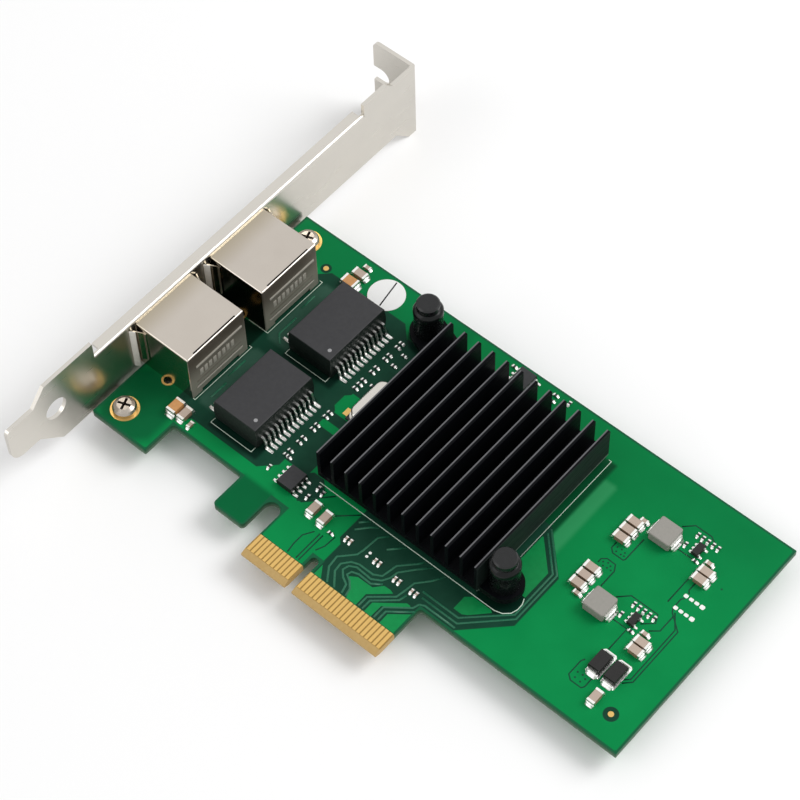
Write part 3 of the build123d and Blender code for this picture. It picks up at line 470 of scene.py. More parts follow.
# The epoxy parts get painted shade on their side faces
EPOXY = moulded(
    "dark_moulded_epoxy", (0.028, 0.028, 0.030), 0.55, 0.15, 0.008, 0.3, sides=(0.004, 0.008, 0.006)
)
BLACK_EPOXY = moulded("black_moulded_epoxy", (0.010, 0.0095, 0.009), 0.45, 0.15, 0.006, 0.3)
HOUSING = moulded("black_housing_plastic", (0.012, 0.012, 0.013), 0.45)
PIN = moulded("black_push_pin_plastic", (0.0045, 0.005, 0.0055), 0.27, 0.5, 0.003, 0.4)
BARREL = moulded("glossy_spring_cover", (0.0025, 0.0035, 0.0035), 0.2, 1.5, 0.001, 0.2)
PAD = moulded("grey_thermal_rubber", (0.30, 0.30, 0.32), 0.8)
FERRITE = ceramic("grey_powder_core", (0.25, 0.24, 0.215), (0.32, 0.305, 0.275), 0.6)
# The capacitors get painted light on their upper faces
MLCC = ceramic(
    "tan_capacitor_ceramic", (0.25, 0.155, 0.10), (0.33, 0.22, 0.15), 0.42, top=(0.52, 0.43, 0.36)
)
FILM = ceramic("orange_capacitor_ceramic", (0.50, 0.23, 0.075), (0.62, 0.32, 0.12), 0.42)
RESISTOR = ceramic("black_resistor_coat", (0.010, 0.010, 0.011), (0.028, 0.028, 0.03), 0.4)
PAPER = label_stock()
WINDOW = clear_window()

NODE_FINISHES = {
    "circuit_board": MASK,
    "contacts_component_side": GOLD,
    "contacts_solder_side": GOLD,
    "plated_rings": GOLD,
    "bracket": BRACKET,
    "bracket_screws": SCREW,
    "crystal_can": CAN,
    "crystal_base": EPOXY,
    "controller_package": EPOXY,
    "memory_chip_bodies": EPOXY,
    "regulator_bodies": BLACK_EPOXY,
    "diode_bodies": BLACK_EPOXY,
    "thermal_pad": PAD,
    "heat_sink": anodised(),
    "push_pins": PIN,
    "inductor_cores": FERRITE,
    "capacitor_bodies": MLCC,
    "coupling_capacitor_bodies": MLCC,
    "film_capacitor_bodies": FILM,
    "resistor_bodies": RESISTOR,
    "inspection_label": PAPER,
    "solder_lands": SOLDER,
}
for number in NUMBERS:
    NODE_FINISHES[f"jack_{number}_shield"] = SHIELD
    NODE_FINISHES[f"jack_{number}_housing"] = HOUSING
    NODE_FINISHES[f"jack_{number}_contacts"] = GOLD
    NODE_FINISHES[f"jack_{number}_lamps"] = WINDOW
    NODE_FINISHES[f"magnetics_{number}_body"] = EPOXY
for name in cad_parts:
    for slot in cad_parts[name].material_slots:
        slot.material = NODE_FINISHES.get(name, TIN).material


# Modelling helpers

# Distances in metres within which doubled vertices are merged
CURVE_WELD = 0.00001 * MM
PLATE_WELD = 0.0001 * MM
SOLID_WELD = 0.001 * MM


def deselect():
    """Leaves nothing selected, so that the next operator acts on the new piece alone."""
    if bpy.context.object and bpy.context.object.mode != "OBJECT":
        bpy.ops.object.mode_set(mode="OBJECT")
    bpy.ops.object.select_all(action="DESELECT")


def finish_piece(piece, name, finish):
    """Names a piece, puts its place in its mesh, gives it its finish and sets it on the card."""
    deselect()
    piece.select_set(True)
    bpy.context.view_layer.objects.active = piece
    bpy.ops.object.transform_apply(location=True, rotation=True, scale=True)
    piece.name = name
    piece.data.materials.clear()
    piece.data.materials.append(finish.material)
    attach(piece, "root")
    return piece


def meshed(name, curve, weld):
    """Makes a curve one closed mesh with its faces outward."""
    piece = bpy.data.objects.new(name, curve)
    bpy.context.collection.objects.link(piece)
    deselect()
    piece.select_set(True)
    bpy.context.view_layer.objects.active = piece
    bpy.ops.object.convert(target="MESH")
    piece = bpy.context.object
    bpy.ops.object.mode_set(mode="EDIT")
    bpy.ops.mesh.select_all(action="SELECT")
    bpy.ops.mesh.remove_doubles(threshold=weld)
    bpy.ops.mesh.normals_make_consistent(inside=False)
    bpy.ops.object.mode_set(mode="OBJECT")
    return piece


def tracks(name, runs, width, height, level, finish):
    """Low raised lines on the board, drawn as curves with a rounded profile and made one mesh."""
    deselect()
    bpy.ops.curve.primitive_bezier_circle_add(radius=0.5)
    profile = bpy.context.object
    profile.data.resolution_u = 2
    profile.scale = (width * MM, 2 * height * MM, 1)
    bpy.ops.object.transform_apply(scale=True)
    curve = bpy.data.curves.new(name, "CURVE")
    curve.dimensions = "3D"
    curve.bevel_mode = "OBJECT"
    curve.bevel_object = profile
    curve.use_fill_caps = True
    curve.twist_mode = "Z_UP"
    for run in runs:
        spline = curve.splines.new("POLY")
        spline.points.add(len(run) - 1)
        for point, (x, y) in zip(spline.points, run):
            point.co = (x * MM, y * MM, level * MM, 1)
    piece = meshed(name, curve, CURVE_WELD)
    bpy.data.objects.remove(profile)
    return finish_piece(piece, name, finish)


def solids_of(node):
    """Lowest and highest corner of every separate solid of a CAD node, in millimetres."""
    shape = bmesh.new()
    shape.from_mesh(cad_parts[node].data)
    bmesh.ops.remove_doubles(shape, verts=shape.verts, dist=SOLID_WELD)
    left = set(shape.verts)
    boxes = []
    while left:
        reached = [left.pop()]
        solid = []
        while reached:
            vert = reached.pop()
            solid.append(vert.co / MM)
            for edge in vert.link_edges:
                other = edge.other_vert(vert)
                if other in left:
                    left.remove(other)
                    reached.append(other)
        low, high = (Vector(pick(p[i] for p in solid) for i in range(3)) for pick in (min, max))
        boxes.append((low, high))
    shape.free()
    return sorted(boxes, key=lambda box: tuple(round(v, 3) for v in box[0]))


def joined(copies, name, finish):
    """Joins copies of a modelled piece into one."""
    deselect()
    for copy in copies:
        copy.select_set(True)
    bpy.context.view_layer.objects.active = copies[0]
    bpy.ops.object.join()
    return finish_piece(bpy.context.object, name, finish)


def copies_at(original, places):
    """Copies of a piece, each with its own mesh, put in place by a matrix."""
    made = []
    for matrix in places:
        copy = original.copy()
        copy.data = original.data.copy()
        copy.data.transform(matrix)
        copy.matrix_world = Matrix.Identity(4)
        bpy.context.collection.objects.link(copy)
        made.append(copy)
    bpy.data.objects.remove(original)
    return made


# Solder

# Shape of a ramp: height of its tip and of the rise behind it, and how much it narrows
RAMP_TIP = 0.05
RAMP_RISE = 0.95
RAMP_TAPER = 0.25
# How far a ramp reaches into its part, and past the toe of a pin, in millimetres
SOLDER_OVERLAP = 0.02
TOE_SOLDER = 0.1
# Ramps of the chip parts, as shares of the end cap and as a least length in millimetres
CAP_WIDTH_SHARE = 1.12
CAP_HEIGHT_SHARE = 0.62
CAP_LENGTH = 0.22
CAP_LENGTH_SHARE = 0.28
# Two end caps nearer than this across are in one row
SAME_ROW = 0.05


def solder_ramp():
    """One concave solder joint, 1 wide, 1 high and 1 long, rising towards -X."""
    deselect()
    bpy.ops.mesh.primitive_cube_add(size=1, location=(0.5, 0, 0.5))
    piece = bpy.context.object
    bpy.ops.object.transform_apply(location=True)
    bpy.ops.object.mode_set(mode="EDIT")
    bpy.ops.mesh.select_all(action="SELECT")
    bpy.ops.mesh.subdivide(number_cuts=2)
    bpy.ops.object.mode_set(mode="OBJECT")
    for vert in piece.data.vertices:
        x, y, z = vert.co
        fall = (1 - x) ** 2 * RAMP_RISE + RAMP_TIP
        vert.co = (x, y * (1 - RAMP_TAPER * x * x), z * fall)
    bpy.ops.object.shade_smooth()
    return piece


def ramp_place(spot, turn, ahead, size):
    """Matrix of a ramp: spot, way ahead and size in millimetres, and a turn in degrees."""
    length, width, height = size
    return (
        Matrix.Translation(spot * MM)
        @ Matrix.Rotation(turn * HALF_TURN / 180, 4, "Z")
        @ Matrix.Translation((ahead * MM, 0, 0))
        @ Matrix.Diagonal((length * MM, width * MM, height * MM, 1))
    )


def end_joints(node):
    """Places of the solder ramps in front of every end cap of the chip parts in a node."""
    boxes = solids_of(node)
    middles = [(low + high) / 2 for low, high in boxes]
    places = []
    for (low, high), middle in zip(boxes, middles):
        size = high - low
        along_x = size.x < size.y
        near = min(
            (
                m for m in middles
                if m is not middle and abs(m.y - middle.y if along_x else m.x - middle.x) < SAME_ROW
            ),
            key=lambda m: (m - middle).length,
        )
        away = middle - near
        turn = (0 if away.x > 0 else 180) if along_x else (90 if away.y > 0 else 270)
        width = (size.y if along_x else size.x) * CAP_WIDTH_SHARE
        height = size.z * CAP_HEIGHT_SHARE
        length = CAP_LENGTH + size.z * CAP_LENGTH_SHARE
        face = (size.x if along_x else size.y) / 2 - SOLDER_OVERLAP
        spot = Vector((middle.x, middle.y, 0))
        places.append(ramp_place(spot, turn, face, (length, width, height)))
    return places


def foot_joints(node, part_middles, size):
    """Places of the solder ramps at the toes of gull-wing pins on both sides of their parts."""
    places = []
    reach = TOE_SOLDER - size[0]
    for low, high in solids_of(node):
        middle = (low + high) / 2
        right = middle.x > min(part_middles, key=lambda x: abs(x - middle.x))
        toe = high.x + reach if right else low.x - reach
        places.append(ramp_place(Vector((toe, middle.y, 0)), 0 if right else 180, 0, size))
    return places


def terminal_joints(terminals, bodies, size):
    """Places of the solder ramps outside the end terminals of larger parts."""
    middles = [(low + high) / 2 for low, high in solids_of(bodies)]
    places = []
    for low, high in solids_of(terminals):
        middle = (low + high) / 2
        away = middle - min(middles, key=lambda m: (m - middle).length)
        if abs(away.x) > abs(away.y):
            face, turn = (high.x, 0) if away.x > 0 else (low.x, 180)
            spot = Vector((face, middle.y, 0))
        else:
            face, turn = (high.y, 90) if away.y > 0 else (low.y, 270)
            spot = Vector((middle.x, face, 0))
        places.append(ramp_place(spot, turn, -SOLDER_OVERLAP, size))
    return places


def middles_across(node):
    """Middle of every solid of a node along X."""
    return [(low.x + high.x) / 2 for low, high in solids_of(node)]


# Length, width and height of the ramps, in millimetres
INDUCTOR_RAMP = (0.75, 3.6, 1.1)
DIODE_RAMP = (0.8, 2.7, 0.8)
MAGNETICS_RAMP = (2.1, 0.74, 0.2)
CHIP_RAMP = (1.3, 0.6, 0.16)
REGULATOR_RAMP = (0.9, 0.55, 0.12)

joint_places = end_joints("capacitor_ends") + end_joints("small_chip_ends")
joined(copies_at(solder_ramp(), joint_places), "chip_part_solder", SOLDER)

large_places = terminal_joints("inductor_terminals", "inductor_cores", INDUCTOR_RAMP)
large_places += terminal_joints("diode_terminals", "diode_bodies", DIODE_RAMP)
joined(copies_at(solder_ramp(), large_places), "power_part_solder", SOLDER)

low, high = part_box("magnetics_1_body")
magnetics_middle = (low[0] + high[0]) / 2 / MM
foot_places = []
for number in NUMBERS:
    foot_places += foot_joints(f"magnetics_{number}_pins", [magnetics_middle], MAGNETICS_RAMP)
foot_places += foot_joints("memory_chip_pins", middles_across("memory_chip_bodies"), CHIP_RAMP)
foot_places += foot_joints("regulator_pins", middles_across("regulator_bodies"), REGULATOR_RAMP)
joined(copies_at(solder_ramp(), foot_places), "pin_solder", SOLDER)


# Push pins

EAR_TOP = 3.3
BARREL_RADIUS = 3.05
BARREL_DEPTH = 5.6
SHOULDER_RADIUS = 3.15
# Rise and radius of each step above the barrel
BARREL_STEPS = (
    (0.2, SHOULDER_RADIUS),
    (1.1, SHOULDER_RADIUS),
    (0.35, 2.95),
    (0.35, 2.5),
    (0.05, 2.42),
)
PIN_PLACES = ((31.9, 26.2), (-17.0, 61.4))


def push_pin_barrel():
    """Spring cover of a push pin: a straight barrel, a wider shoulder and a taper up to the cap."""
    deselect()
    bpy.ops.mesh.primitive_cylinder_add(
        vertices=40,
        radius=BARREL_RADIUS * MM,
        depth=BARREL_DEPTH * MM,
        location=(0, 0, (EAR_TOP + BARREL_DEPTH / 2) * MM),
    )
    barrel = bpy.context.object
    bpy.ops.object.transform_apply(location=True)
    bpy.ops.object.mode_set(mode="EDIT")
    bpy.ops.mesh.select_all(action="DESELECT")
    bpy.ops.object.mode_set(mode="OBJECT")
    for face in barrel.data.polygons:
        face.select = face.normal.z > 0.9
    bpy.ops.object.mode_set(mode="EDIT")
    width = BARREL_RADIUS
    for rise, radius in BARREL_STEPS:
        bpy.ops.mesh.extrude_region_move(TRANSFORM_OT_translate={"value": (0, 0, rise * MM)})
        bpy.ops.transform.resize(value=(radius / width, radius / width, 1.0))
        width = radius
    bpy.ops.object.mode_set(mode="OBJECT")
    bpy.ops.object.shade_smooth_by_angle(angle=0.7)
    return barrel


pin_places = [Matrix.Translation(Vector((x, y, 0)) * MM) for x, y in PIN_PLACES]
joined(copies_at(push_pin_barrel(), pin_places), "push_pin_barrels", BARREL)


# Printed lines and copper relief

INK = moulded("pale_print_ink", (0.56, 0.66, 0.56), 0.6, 0.2, 0.003, 0.2)
BARE = moulded("mask_over_bare_laminate", (0.002, 0.050, 0.024), 0.4, 0.8, 0.004, 0.15)
POUR = moulded("mask_over_copper_pour", (0.002, 0.205, 0.052), 0.34, 0.8, 0.004, 0.15)
RAISED = moulded("mask_over_traces", (0.016, 0.120, 0.062), 0.30, 0.8, 0.006, 0.3)


# Shares of a plate's height: half of its straight wall, and the bevel above and below it
PLATE_WALL = 0.3
PLATE_BEVEL = 0.2
# Share of a dot's height that its rim is softened by
RIM = 0.3


def plates(name, outlines, height, level, finish):
    """Thin flat plates with softened edges, drawn as filled flat curves and made one mesh."""
    curve = bpy.data.curves.new(name, "CURVE")
    curve.dimensions = "2D"
    curve.fill_mode = "BOTH"
    curve.extrude = height * PLATE_WALL * MM
    curve.bevel_depth = height * PLATE_BEVEL * MM
    for outline in outlines:
        spline = curve.splines.new("POLY")
        spline.points.add(len(outline) - 1)
        spline.use_cyclic_u = True
        for point, (x, y) in zip(spline.points, outline):
            point.co = (x * MM, y * MM, 0, 1)
    piece = meshed(name, curve, PLATE_WELD)
    piece.location = (0, 0, (level + height / 2) * MM)
    return finish_piece(piece, name, finish)


outline_runs = [
    [(-48.3, 20.0), (-43.2, 20.0), (-43.2, 36.7), (-43.9, 36.7)],
    [(-48.3, 41.4), (-43.1, 41.4), (-43.1, 58.1), (-43.8, 58.1)],
    [(-37.1, 19.4), (-37.1, 18.1), (-26.2, 18.1), (-26.2, 19.4)],
    [(-37.0, 41.4), (-37.0, 40.0), (-26.1, 40.0), (-26.1, 41.4)],
    [(-11.1, 21.6), (33.2, 21.6), (34.8, 22.1), (36.0, 23.2), (36.45, 24.6), (36.4, 26.0),
     (35.9, 27.2)],
    [(29.55, 33.8), (29.55, 62.0), (28.9, 62.0)],
]
tracks("outline_print", outline_runs, 0.2, 0.012, 0.0, INK)

clearance_runs = [
    [(49.1, 59.1), (51.0, 61.0), (54.8, 61.0), (56.4, 60.0)],
    [(48.9, 38.7), (51.0, 40.8), (57.3, 40.8), (58.1, 39.0), (56.0, 37.1)],
    [(59.75, 42.3), (59.75, 38.3), (58.1, 36.9)],
    [(51.4, 54.6), (57.0, 54.6), (57.0, 44.2)],
    [(51.0, 34.6), (54.75, 34.6), (54.75, 29.0)],
    [(58.6, 51.2), (58.6, 48.8), (59.1, 48.1)],
    [(59.1, 46.9), (58.6, 46.2), (58.6, 43.8), (59.1, 42.9), (62.45, 40.2), (62.45, 26.5),
     (61.0, 25.0)],
    [(59.5, 43.2), (61.8, 40.2), (61.8, 26.7), (60.6, 25.6)],
    [(41.6, 48.3), (41.6, 46.7), (42.5, 45.9), (45.0, 45.9), (45.25, 46.3), (45.25, 52.1)],
    [(41.6, 42.5), (41.6, 43.5), (42.5, 44.25), (44.5, 44.2), (45.25, 42.9), (45.25, 38.75)],
    [(52.7, 24.6), (52.3, 23.75), (52.3, 20.2), (53.3, 19.4), (55.8, 19.4), (56.2, 20.0),
     (56.2, 22.9)],
    [(-5.4, 5.9), (-5.7, 8.0), (-5.7, 10.5), (-4.4, 12.6)],
    [(-3.25, 5.9), (-3.25, 12.9)],
    [(-2.55, 5.9), (-2.55, 13.0)],
    [(-1.5, 9.6), (-0.7, 11.4), (-0.5, 14.2)],
    [(-11.8, 15.6), (-6.5, 21.2)],
    [(-3.6, 17.8), (0.2, 21.3)],
    [(20.2, 5.9), (20.2, 8.9), (21.1, 8.9), (21.1, 5.9)],
    [(31.2, 39.0), (31.2, 30.5)],
]
tracks("pour_clearances", clearance_runs, 0.3, 0.006, 0.0, BARE)

trace_runs = [
    [(4.9, 5.8), (2.9, 8.6), (2.6, 11.2), (4.2, 12.9), (5.3, 14.1), (5.6, 15.6), (5.9, 19.4),
     (7.6, 21.3)],
    [(6.7, 5.8), (4.4, 8.6), (4.2, 10.5), (5.5, 12.1), (7.1, 12.7), (10.5, 12.7), (12.1, 13.6),
     (12.5, 15.7), (12.7, 17.0), (15.6, 20.0), (16.5, 21.3)],
    [(8.6, 5.8), (8.0, 7.8), (6.5, 8.6), (5.35, 9.8), (5.7, 11.1), (7.1, 11.9), (10.9, 11.7),
     (12.7, 12.8), (13.6, 14.4), (13.8, 16.0), (16.0, 18.7), (18.4, 21.3)],
    [(9.6, 5.8), (9.2, 7.5), (8.0, 8.8), (6.7, 9.5), (7.0, 10.5), (8.4, 11.0), (11.5, 10.9),
     (13.4, 12.3)],
    [(12.85, 5.8), (12.85, 8.3), (17.1, 11.9), (17.5, 14.0), (17.8, 16.3), (20.0, 18.8),
     (21.5, 21.3)],
    [(13.8, 5.8), (13.8, 8.0), (18.0, 11.7), (18.4, 13.4)],
    [(16.7, 5.8), (16.7, 8.6), (21.1, 12.1), (21.5, 13.4), (22.5, 13.9), (29.9, 13.9)],
    [(17.65, 5.8), (17.65, 8.2), (22.0, 11.7)],
    [(20.2, 16.0), (29.0, 16.0), (36.7, 23.4), (36.7, 34.8), (30.2, 41.3)],
    [(21.0, 14.9), (29.6, 14.9), (37.5, 22.8), (37.5, 35.1), (30.2, 42.4)],
    [(1.2, 17.9), (3.2, 20.2), (4.6, 21.3)],
    [(0.8, 19.6), (2.4, 21.3)],
    [(8.9, 18.5), (11.6, 21.3)],
    [(-42.0, 54.5), (-42.0, 50.5)],
    [(-41.2, 48.0), (-41.2, 42.8), (-39.4, 41.0)],
    [(-42.0, 33.5), (-42.0, 28.5)],
    [(-41.2, 27.0), (-41.2, 22.5)],
]
tracks("signal_traces", trace_runs, 0.46, 0.03, 0.0, RAISED)

pour_islands = [
    [(7.3, 9.5), (9.3, 7.3), (9.95, 5.6), (12.35, 5.6), (12.3, 8.6), (16.2, 12.0), (15.3, 12.3),
     (13.8, 12.2), (12.3, 10.5), (8.7, 10.4)],
    [(14.45, 5.6), (14.45, 8.0), (18.6, 11.3), (19.6, 12.1), (20.5, 12.1), (20.3, 11.3),
     (16.2, 8.5), (16.15, 5.6)],
    [(18.3, 5.6), (18.3, 8.0), (21.75, 10.8), (21.75, 5.6)],
    [(1.75, 5.6), (3.5, 5.6), (1.75, 8.1)],
    [(29.9, 27.5), (35.9, 27.5), (35.9, 34.4), (30.2, 40.1), (29.9, 40.1)],
    [(27.0, 17.0), (29.0, 17.0), (30.0, 17.6), (33.2, 20.9), (32.6, 21.3), (28.3, 21.3),
     (27.0, 20.2)],
]
plates("pour_islands", pour_islands, 0.016, 0.0, POUR)


# Small marks


def round_mark(name, places, radius, height, finish):
    """Low round dots with a softened rim."""
    deselect()
    bpy.ops.mesh.primitive_cylinder_add(vertices=20, radius=radius * MM, depth=height * MM)
    dot = bpy.context.object
    bpy.ops.object.mode_set(mode="EDIT")
    bpy.ops.mesh.select_all(action="SELECT")
    bpy.ops.mesh.bevel(offset=height * RIM * MM, segments=1)
    bpy.ops.object.mode_set(mode="OBJECT")
    moves = [Matrix.Translation(Vector((x, y, z + height / 2)) * MM) for x, y, z in places]
    return joined(copies_at(dot, moves), name, finish)


DOT = moulded("pale_pin_mark", (0.26, 0.26, 0.265), 0.6)
LINE = moulded("dark_label_print", (0.02, 0.02, 0.022), 0.6)
LABEL_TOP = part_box("inspection_label")[1][2] / MM
VIA_HEIGHT = 0.012

pin_marks = [(-27.4, y, MAGNETICS_TOP) for y in (21.4, 43.2)]
round_mark("first_pin_marks", pin_marks, 0.42, 0.02, DOT)
label_line = [(-31.2, 67.9), (-30.1, 61.2)]
tracks("label_dividing_line", [label_line], 0.32, 0.01, LABEL_TOP, LINE)

vias = [(42.4, 47.5), (43.4, 47.6), (44.3, 47.4), (42.8, 46.6), (43.9, 46.6), (44.6, 46.7)]
vias += [(42.3, 43.2), (43.2, 43.6), (44.0, 43.3), (44.6, 42.6), (42.8, 42.5), (43.7, 42.6)]
vias += [(53.3, 21.6), (54.4, 21.7), (55.3, 21.3), (53.6, 20.4), (54.9, 20.3), (63.2, 52.9)]
round_mark("covered_vias", [(x, y, 0.0) for x, y in vias], 0.2, VIA_HEIGHT, BARE)


# Bare and solder-covered lands


def box_outline(centre_x, centre_y, width, length, corner):
    """Outline of a rectangle with its corners cut off."""
    right, high = centre_x + width / 2, centre_y + length / 2
    left, low = centre_x - width / 2, centre_y - length / 2
    return [
        (left + corner, low),
        (right - corner, low),
        (right, low + corner),
        (right, high - corner),
        (right - corner, high),
        (left + corner, high),
        (left, high - corner),
        (left, low + corner),
    ]


# Lands of each row and of the single pair: middle along X, width, length and cut corner
LAND_ROWS = (44.1, 47.4)
ROW_LANDS = (
    (58.95, 0.85, 0.8, 0.15),
    (62.75, 1.0, 0.95, 0.2),
    (60.2, 0.9, 0.7, 0.15),
    (61.45, 0.9, 0.7, 0.15),
)
PAIR_ROWS = (14.9, 15.9)
PAIR_LAND = (7.0, 0.6, 0.55, 0.15)
DIODE_LAND_Y = 25.7
DIODE_LAND = (3.15, 6.3, 0.4)

bare_lands = [box_outline(x, y, *size) for y in LAND_ROWS for x, *size in ROW_LANDS]
bare_lands += [box_outline(PAIR_LAND[0], y, *PAIR_LAND[1:]) for y in PAIR_ROWS]
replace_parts(plates("unused_lands", bare_lands, 0.05, 0.0, SOLDER), "solder_lands")
diode_lands = [box_outline(x, DIODE_LAND_Y, *DIODE_LAND) for x in middles_across("diode_bodies")]
plates("diode_lands", diode_lands, 0.03, 0.0, SOLDER)


# Solder under the board

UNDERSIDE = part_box("circuit_board")[0][2] / MM
LEAST_HANG = 0.3
# Shares of a cone: its tip's radius, and the level and width of its waist
CONE_TIP = 0.4
WAIST_LEVEL = 0.4
WAIST_WIDTH = 0.78
# Grid of covered vias under the controller
GRID_STEP = 2.2
GRID_COUNT = 6


def lowest_spots(node, reach):
    """Middle of every group of a node's vertices that hang below the board, in millimetres."""
    spots = []
    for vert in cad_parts[node].data.vertices:
        place = vert.co / MM
        if place.z < UNDERSIDE - LEAST_HANG:
            near = [spot for spot in spots if (spot[0].xy - place.xy).length < reach]
            if near:
                near[0].append(place)
            else:
                spots.append([place])
    return [sum(spot, Vector((0, 0, 0))) / len(spot) for spot in spots]


def solder_cone(radius, depth):
    """A hollow-sided cone of solder that hangs from Z=0."""
    deselect()
    bpy.ops.mesh.primitive_cone_add(
        vertices=14,
        radius1=CONE_TIP * radius * MM,
        radius2=radius * MM,
        depth=depth * MM,
        location=(0, 0, -depth * MM / 2),
    )
    cone = bpy.context.object
    bpy.ops.object.transform_apply(location=True)
    bpy.ops.object.mode_set(mode="EDIT")
    bpy.ops.mesh.select_all(action="SELECT")
    waist = (0, 0, -WAIST_LEVEL * depth * MM)
    bpy.ops.mesh.bisect(plane_co=waist, plane_no=(0, 0, 1))
    bpy.ops.transform.resize(value=(WAIST_WIDTH, WAIST_WIDTH, 1.0), center_override=waist)
    bpy.ops.object.mode_set(mode="OBJECT")
    bpy.ops.object.shade_smooth_by_angle(angle=1.2)
    return cone


def under_board(spots):
    """Matrices that set a piece against the underside at each spot."""
    return [Matrix.Translation(Vector((spot.x, spot.y, UNDERSIDE)) * MM) for spot in spots]


for number in NUMBERS:
    tails = under_board(lowest_spots(f"jack_{number}_contacts", 0.7))
    legs = under_board(lowest_spots(f"jack_{number}_shield", 1.7))
    joined(copies_at(solder_cone(0.5, 0.55), tails), f"jack_{number}_tail_solder", SOLDER)
    joined(copies_at(solder_cone(1.15, 0.5), legs), f"jack_{number}_leg_solder", SOLDER)

low, high = (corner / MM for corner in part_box("controller_package"))
package = (low + high) / 2
steps = [GRID_STEP * (n - (GRID_COUNT - 1) / 2) for n in range(GRID_COUNT)]
under_vias = [(package.x + x, package.y + y) for x in steps for y in steps] + vias
under_places = [(x, y, UNDERSIDE - VIA_HEIGHT) for x, y in under_vias]
round_mark("underside_vias", under_places, 0.24, VIA_HEIGHT, BARE)


# Rear walls of the jacks

SATIN = moulded("satin_wall_relief", (0.29, 0.275, 0.235), 0.42, 0.6, 0.003, 0.6)
WALL = moulded("brown_wall_filling", (0.15, 0.135, 0.11), 0.45, 0.6, 0.003, 0.5)
FLANGE = moulded("pale_front_flange", (0.60, 0.575, 0.53), 0.4, 0.6, 0.003, 0.6)
# Bars on a rear wall: place out from it, along it and up, then size, then rounding
RIBS = (
    ((0.07, 0.4, 9.0), (0.3, 13.2, 0.62), 0.13),
    ((0.03, 0.0, 2.35), (0.2, 13.4, 0.36), 0.08),
)
FILLINGS = (
    ((-0.09, 0.0, 4.15), (0.2, 12.9, 0.66), 0.05),
    ((-0.13, 0.0, 6.25), (0.2, 10.2, 1.34), 0.05),
)
WINDOW_BAR = ((-0.02, 0.0, 6.3), (0.16, 0.86, 1.9), 0.06)
WINDOW_COUNT = 8
WINDOW_PITCH = 1.27
WINDOW_SHIFT = 0.4
# Front flange: size and level, place along X, gap to the shield, and turn in radians
FLANGE_SIZE = (1.3, 0.25, 11.6)
FLANGE_LEVEL = 6.9
FLANGE_X = -57.2
FLANGE_GAP = 0.45
FLANGE_TURN = 0.6


def rounded_bar(centre, size, rounding):
    """A bar with rounded edges; centre and size in millimetres."""
    deselect()
    bpy.ops.mesh.primitive_cube_add(size=1, location=Vector(centre) * MM)
    bar = bpy.context.object
    bar.scale = Vector(size) * MM
    bpy.ops.object.transform_apply(location=True, rotation=False, scale=True)
    bpy.ops.object.mode_set(mode="EDIT")
    bpy.ops.mesh.select_all(action="SELECT")
    bpy.ops.mesh.bevel(offset=rounding * MM, segments=2, affect="EDGES")
    bpy.ops.object.mode_set(mode="OBJECT")
    bpy.ops.object.shade_smooth_by_angle(angle=0.7)
    return bar


def wall_bar(along, spot, size, rounding):
    """A rounded bar on a rear wall, at a spot out from the wall, along it and up."""
    out, aside, up = spot
    return rounded_bar((REAR_WALL + out, along + aside, up), size, rounding)


for number in NUMBERS:
    low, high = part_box(f"jack_{number}_shield")
    middle = (low[1] + high[1]) / 2 / MM
    bars = [wall_bar(middle, *rib) for rib in RIBS]
    for step in range(WINDOW_COUNT):
        along = middle - WINDOW_SHIFT + (step - (WINDOW_COUNT - 1) / 2) * WINDOW_PITCH
        bars.append(wall_bar(along, *WINDOW_BAR))
    joined(bars, f"jack_{number}_wall_relief", SATIN)
    filling = [wall_bar(middle, *bar) for bar in FILLINGS]
    joined(filling, f"jack_{number}_wall_filling", WALL)
    flange = rounded_bar((0, 0, FLANGE_LEVEL), FLANGE_SIZE, 0.07)
    flange.data.transform(Matrix.Rotation(FLANGE_TURN, 4, "Z"))
    flange.data.transform(Matrix.Translation((FLANGE_X * MM, low[1] - FLANGE_GAP * MM, 0)))
    finish_piece(flange, f"jack_{number}_front_flange", FLANGE)


# Camera, light and floor

FLOOR_SIZE = 6.0
SKY_LEVEL = 0.62
LAMP_AIM = Vector((0.0, 0.04, 0.0))
CAMERA_PLACE = (0.17403, -0.15593, 0.41086)
CAMERA_LOOK = (-0.37588, 0.40928, -0.83139)
CAMERA_RIGHT = (0.75662, 0.65354, -0.02034)
FOCAL_PIXELS = 2472.44
PHOTO_PIXELS = 800.0
SENSOR_WIDTH = 36.0


def stage_floor():
    """A white floor that keeps the card's shadow."""
    deselect()
    bpy.ops.mesh.primitive_plane_add(size=FLOOR_SIZE, location=(0, 0, FLOOR_LEVEL))
    floor = bpy.context.object
    floor.name = "studio_floor"
    finish = Finish(
        "white_studio_floor", (0.95, 0.95, 0.95), 0.9, levels={"Specular IOR Level": 0.0}
    )
    floor.data.materials.append(finish.material)


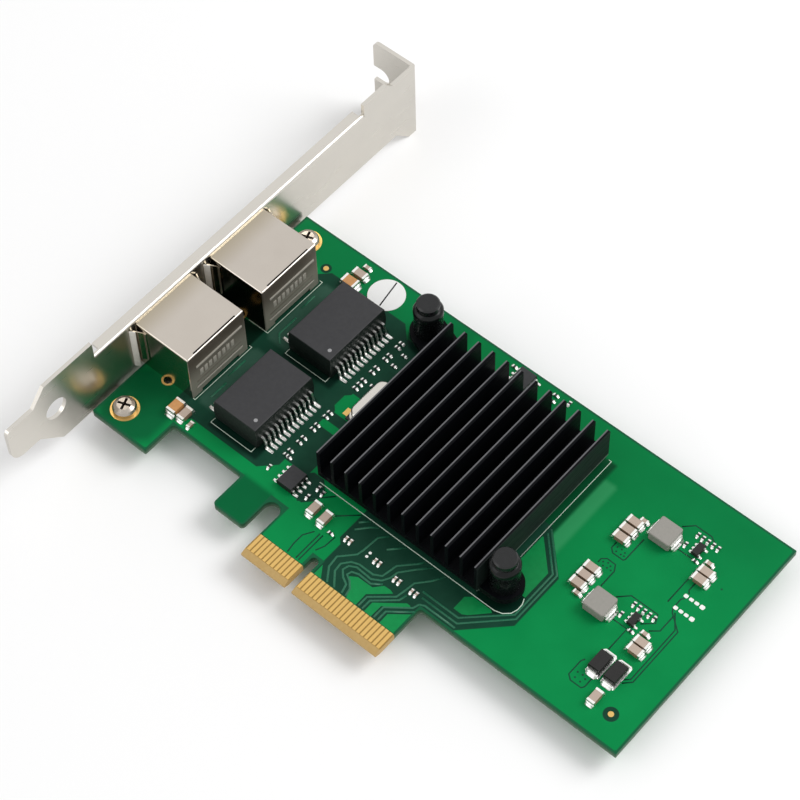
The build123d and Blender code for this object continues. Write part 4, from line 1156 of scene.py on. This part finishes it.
def studio_world():
    """A white surround, a little lower on the card than as the camera and reflections see it."""
    world = bpy.data.worlds.new("studio_world")
    bpy.context.scene.world = world
    world.use_nodes = True
    nodes, links = world.node_tree.nodes, world.node_tree.links
    path = nodes.new("ShaderNodeLightPath")
    seen = path.outputs["Is Camera Ray"]
    for ray in ("Is Glossy Ray", "Is Transmission Ray"):
        either = nodes.new("ShaderNodeMath")
        either.operation = "MAXIMUM"
        links.new(seen, either.inputs[0])
        links.new(path.outputs[ray], either.inputs[1])
        seen = either.outputs["Value"]
    strength = nodes.new("ShaderNodeMapRange")
    strength.inputs["To Min"].default_value = SKY_LEVEL
    strength.inputs["To Max"].default_value = 1.0
    links.new(seen, strength.inputs["Value"])
    background = nodes["Background"]
    background.inputs["Color"].default_value = (*WHITE, 1.0)
    links.new(strength.outputs["Result"], background.inputs["Strength"])


def soft_lamp(name, place, size, power):
    """A square soft box that looks at the card."""
    lamp = bpy.data.lights.new(name, "AREA")
    lamp.shape = "SQUARE"
    lamp.size = size
    lamp.energy = power
    holder = bpy.data.objects.new(name, lamp)
    bpy.context.collection.objects.link(holder)
    holder.location = place
    aim = LAMP_AIM - Vector(place)
    holder.rotation_euler = aim.to_track_quat("-Z", "Y").to_euler()


def camera_view():
    """The photograph's view: long lens, from the lower right above the contact edge."""
    look = Vector(CAMERA_LOOK).normalized()
    right = Vector(CAMERA_RIGHT)
    right = (right - look * right.dot(look)).normalized()
    up = right.cross(look)
    camera = bpy.data.cameras.new("photo_camera")
    camera.sensor_width = SENSOR_WIDTH
    camera.lens = FOCAL_PIXELS * SENSOR_WIDTH / PHOTO_PIXELS
    camera.clip_start = 0.01
    holder = bpy.data.objects.new("photo_camera", camera)
    bpy.context.collection.objects.link(holder)
    turn = Matrix((right, up, -look)).transposed().to_4x4()
    holder.matrix_world = Matrix.Translation(CAMERA_PLACE) @ turn
    bpy.context.scene.camera = holder


stage_floor()
studio_world()
soft_lamp("key_softbox", (0.55, 0.75, 0.85), 0.7, 9.0)
soft_lamp("fill_softbox", (-0.5, -0.8, 0.7), 0.8, 2.5)
camera_view()
bpy.context.scene.view_settings.view_transform = "Standard"
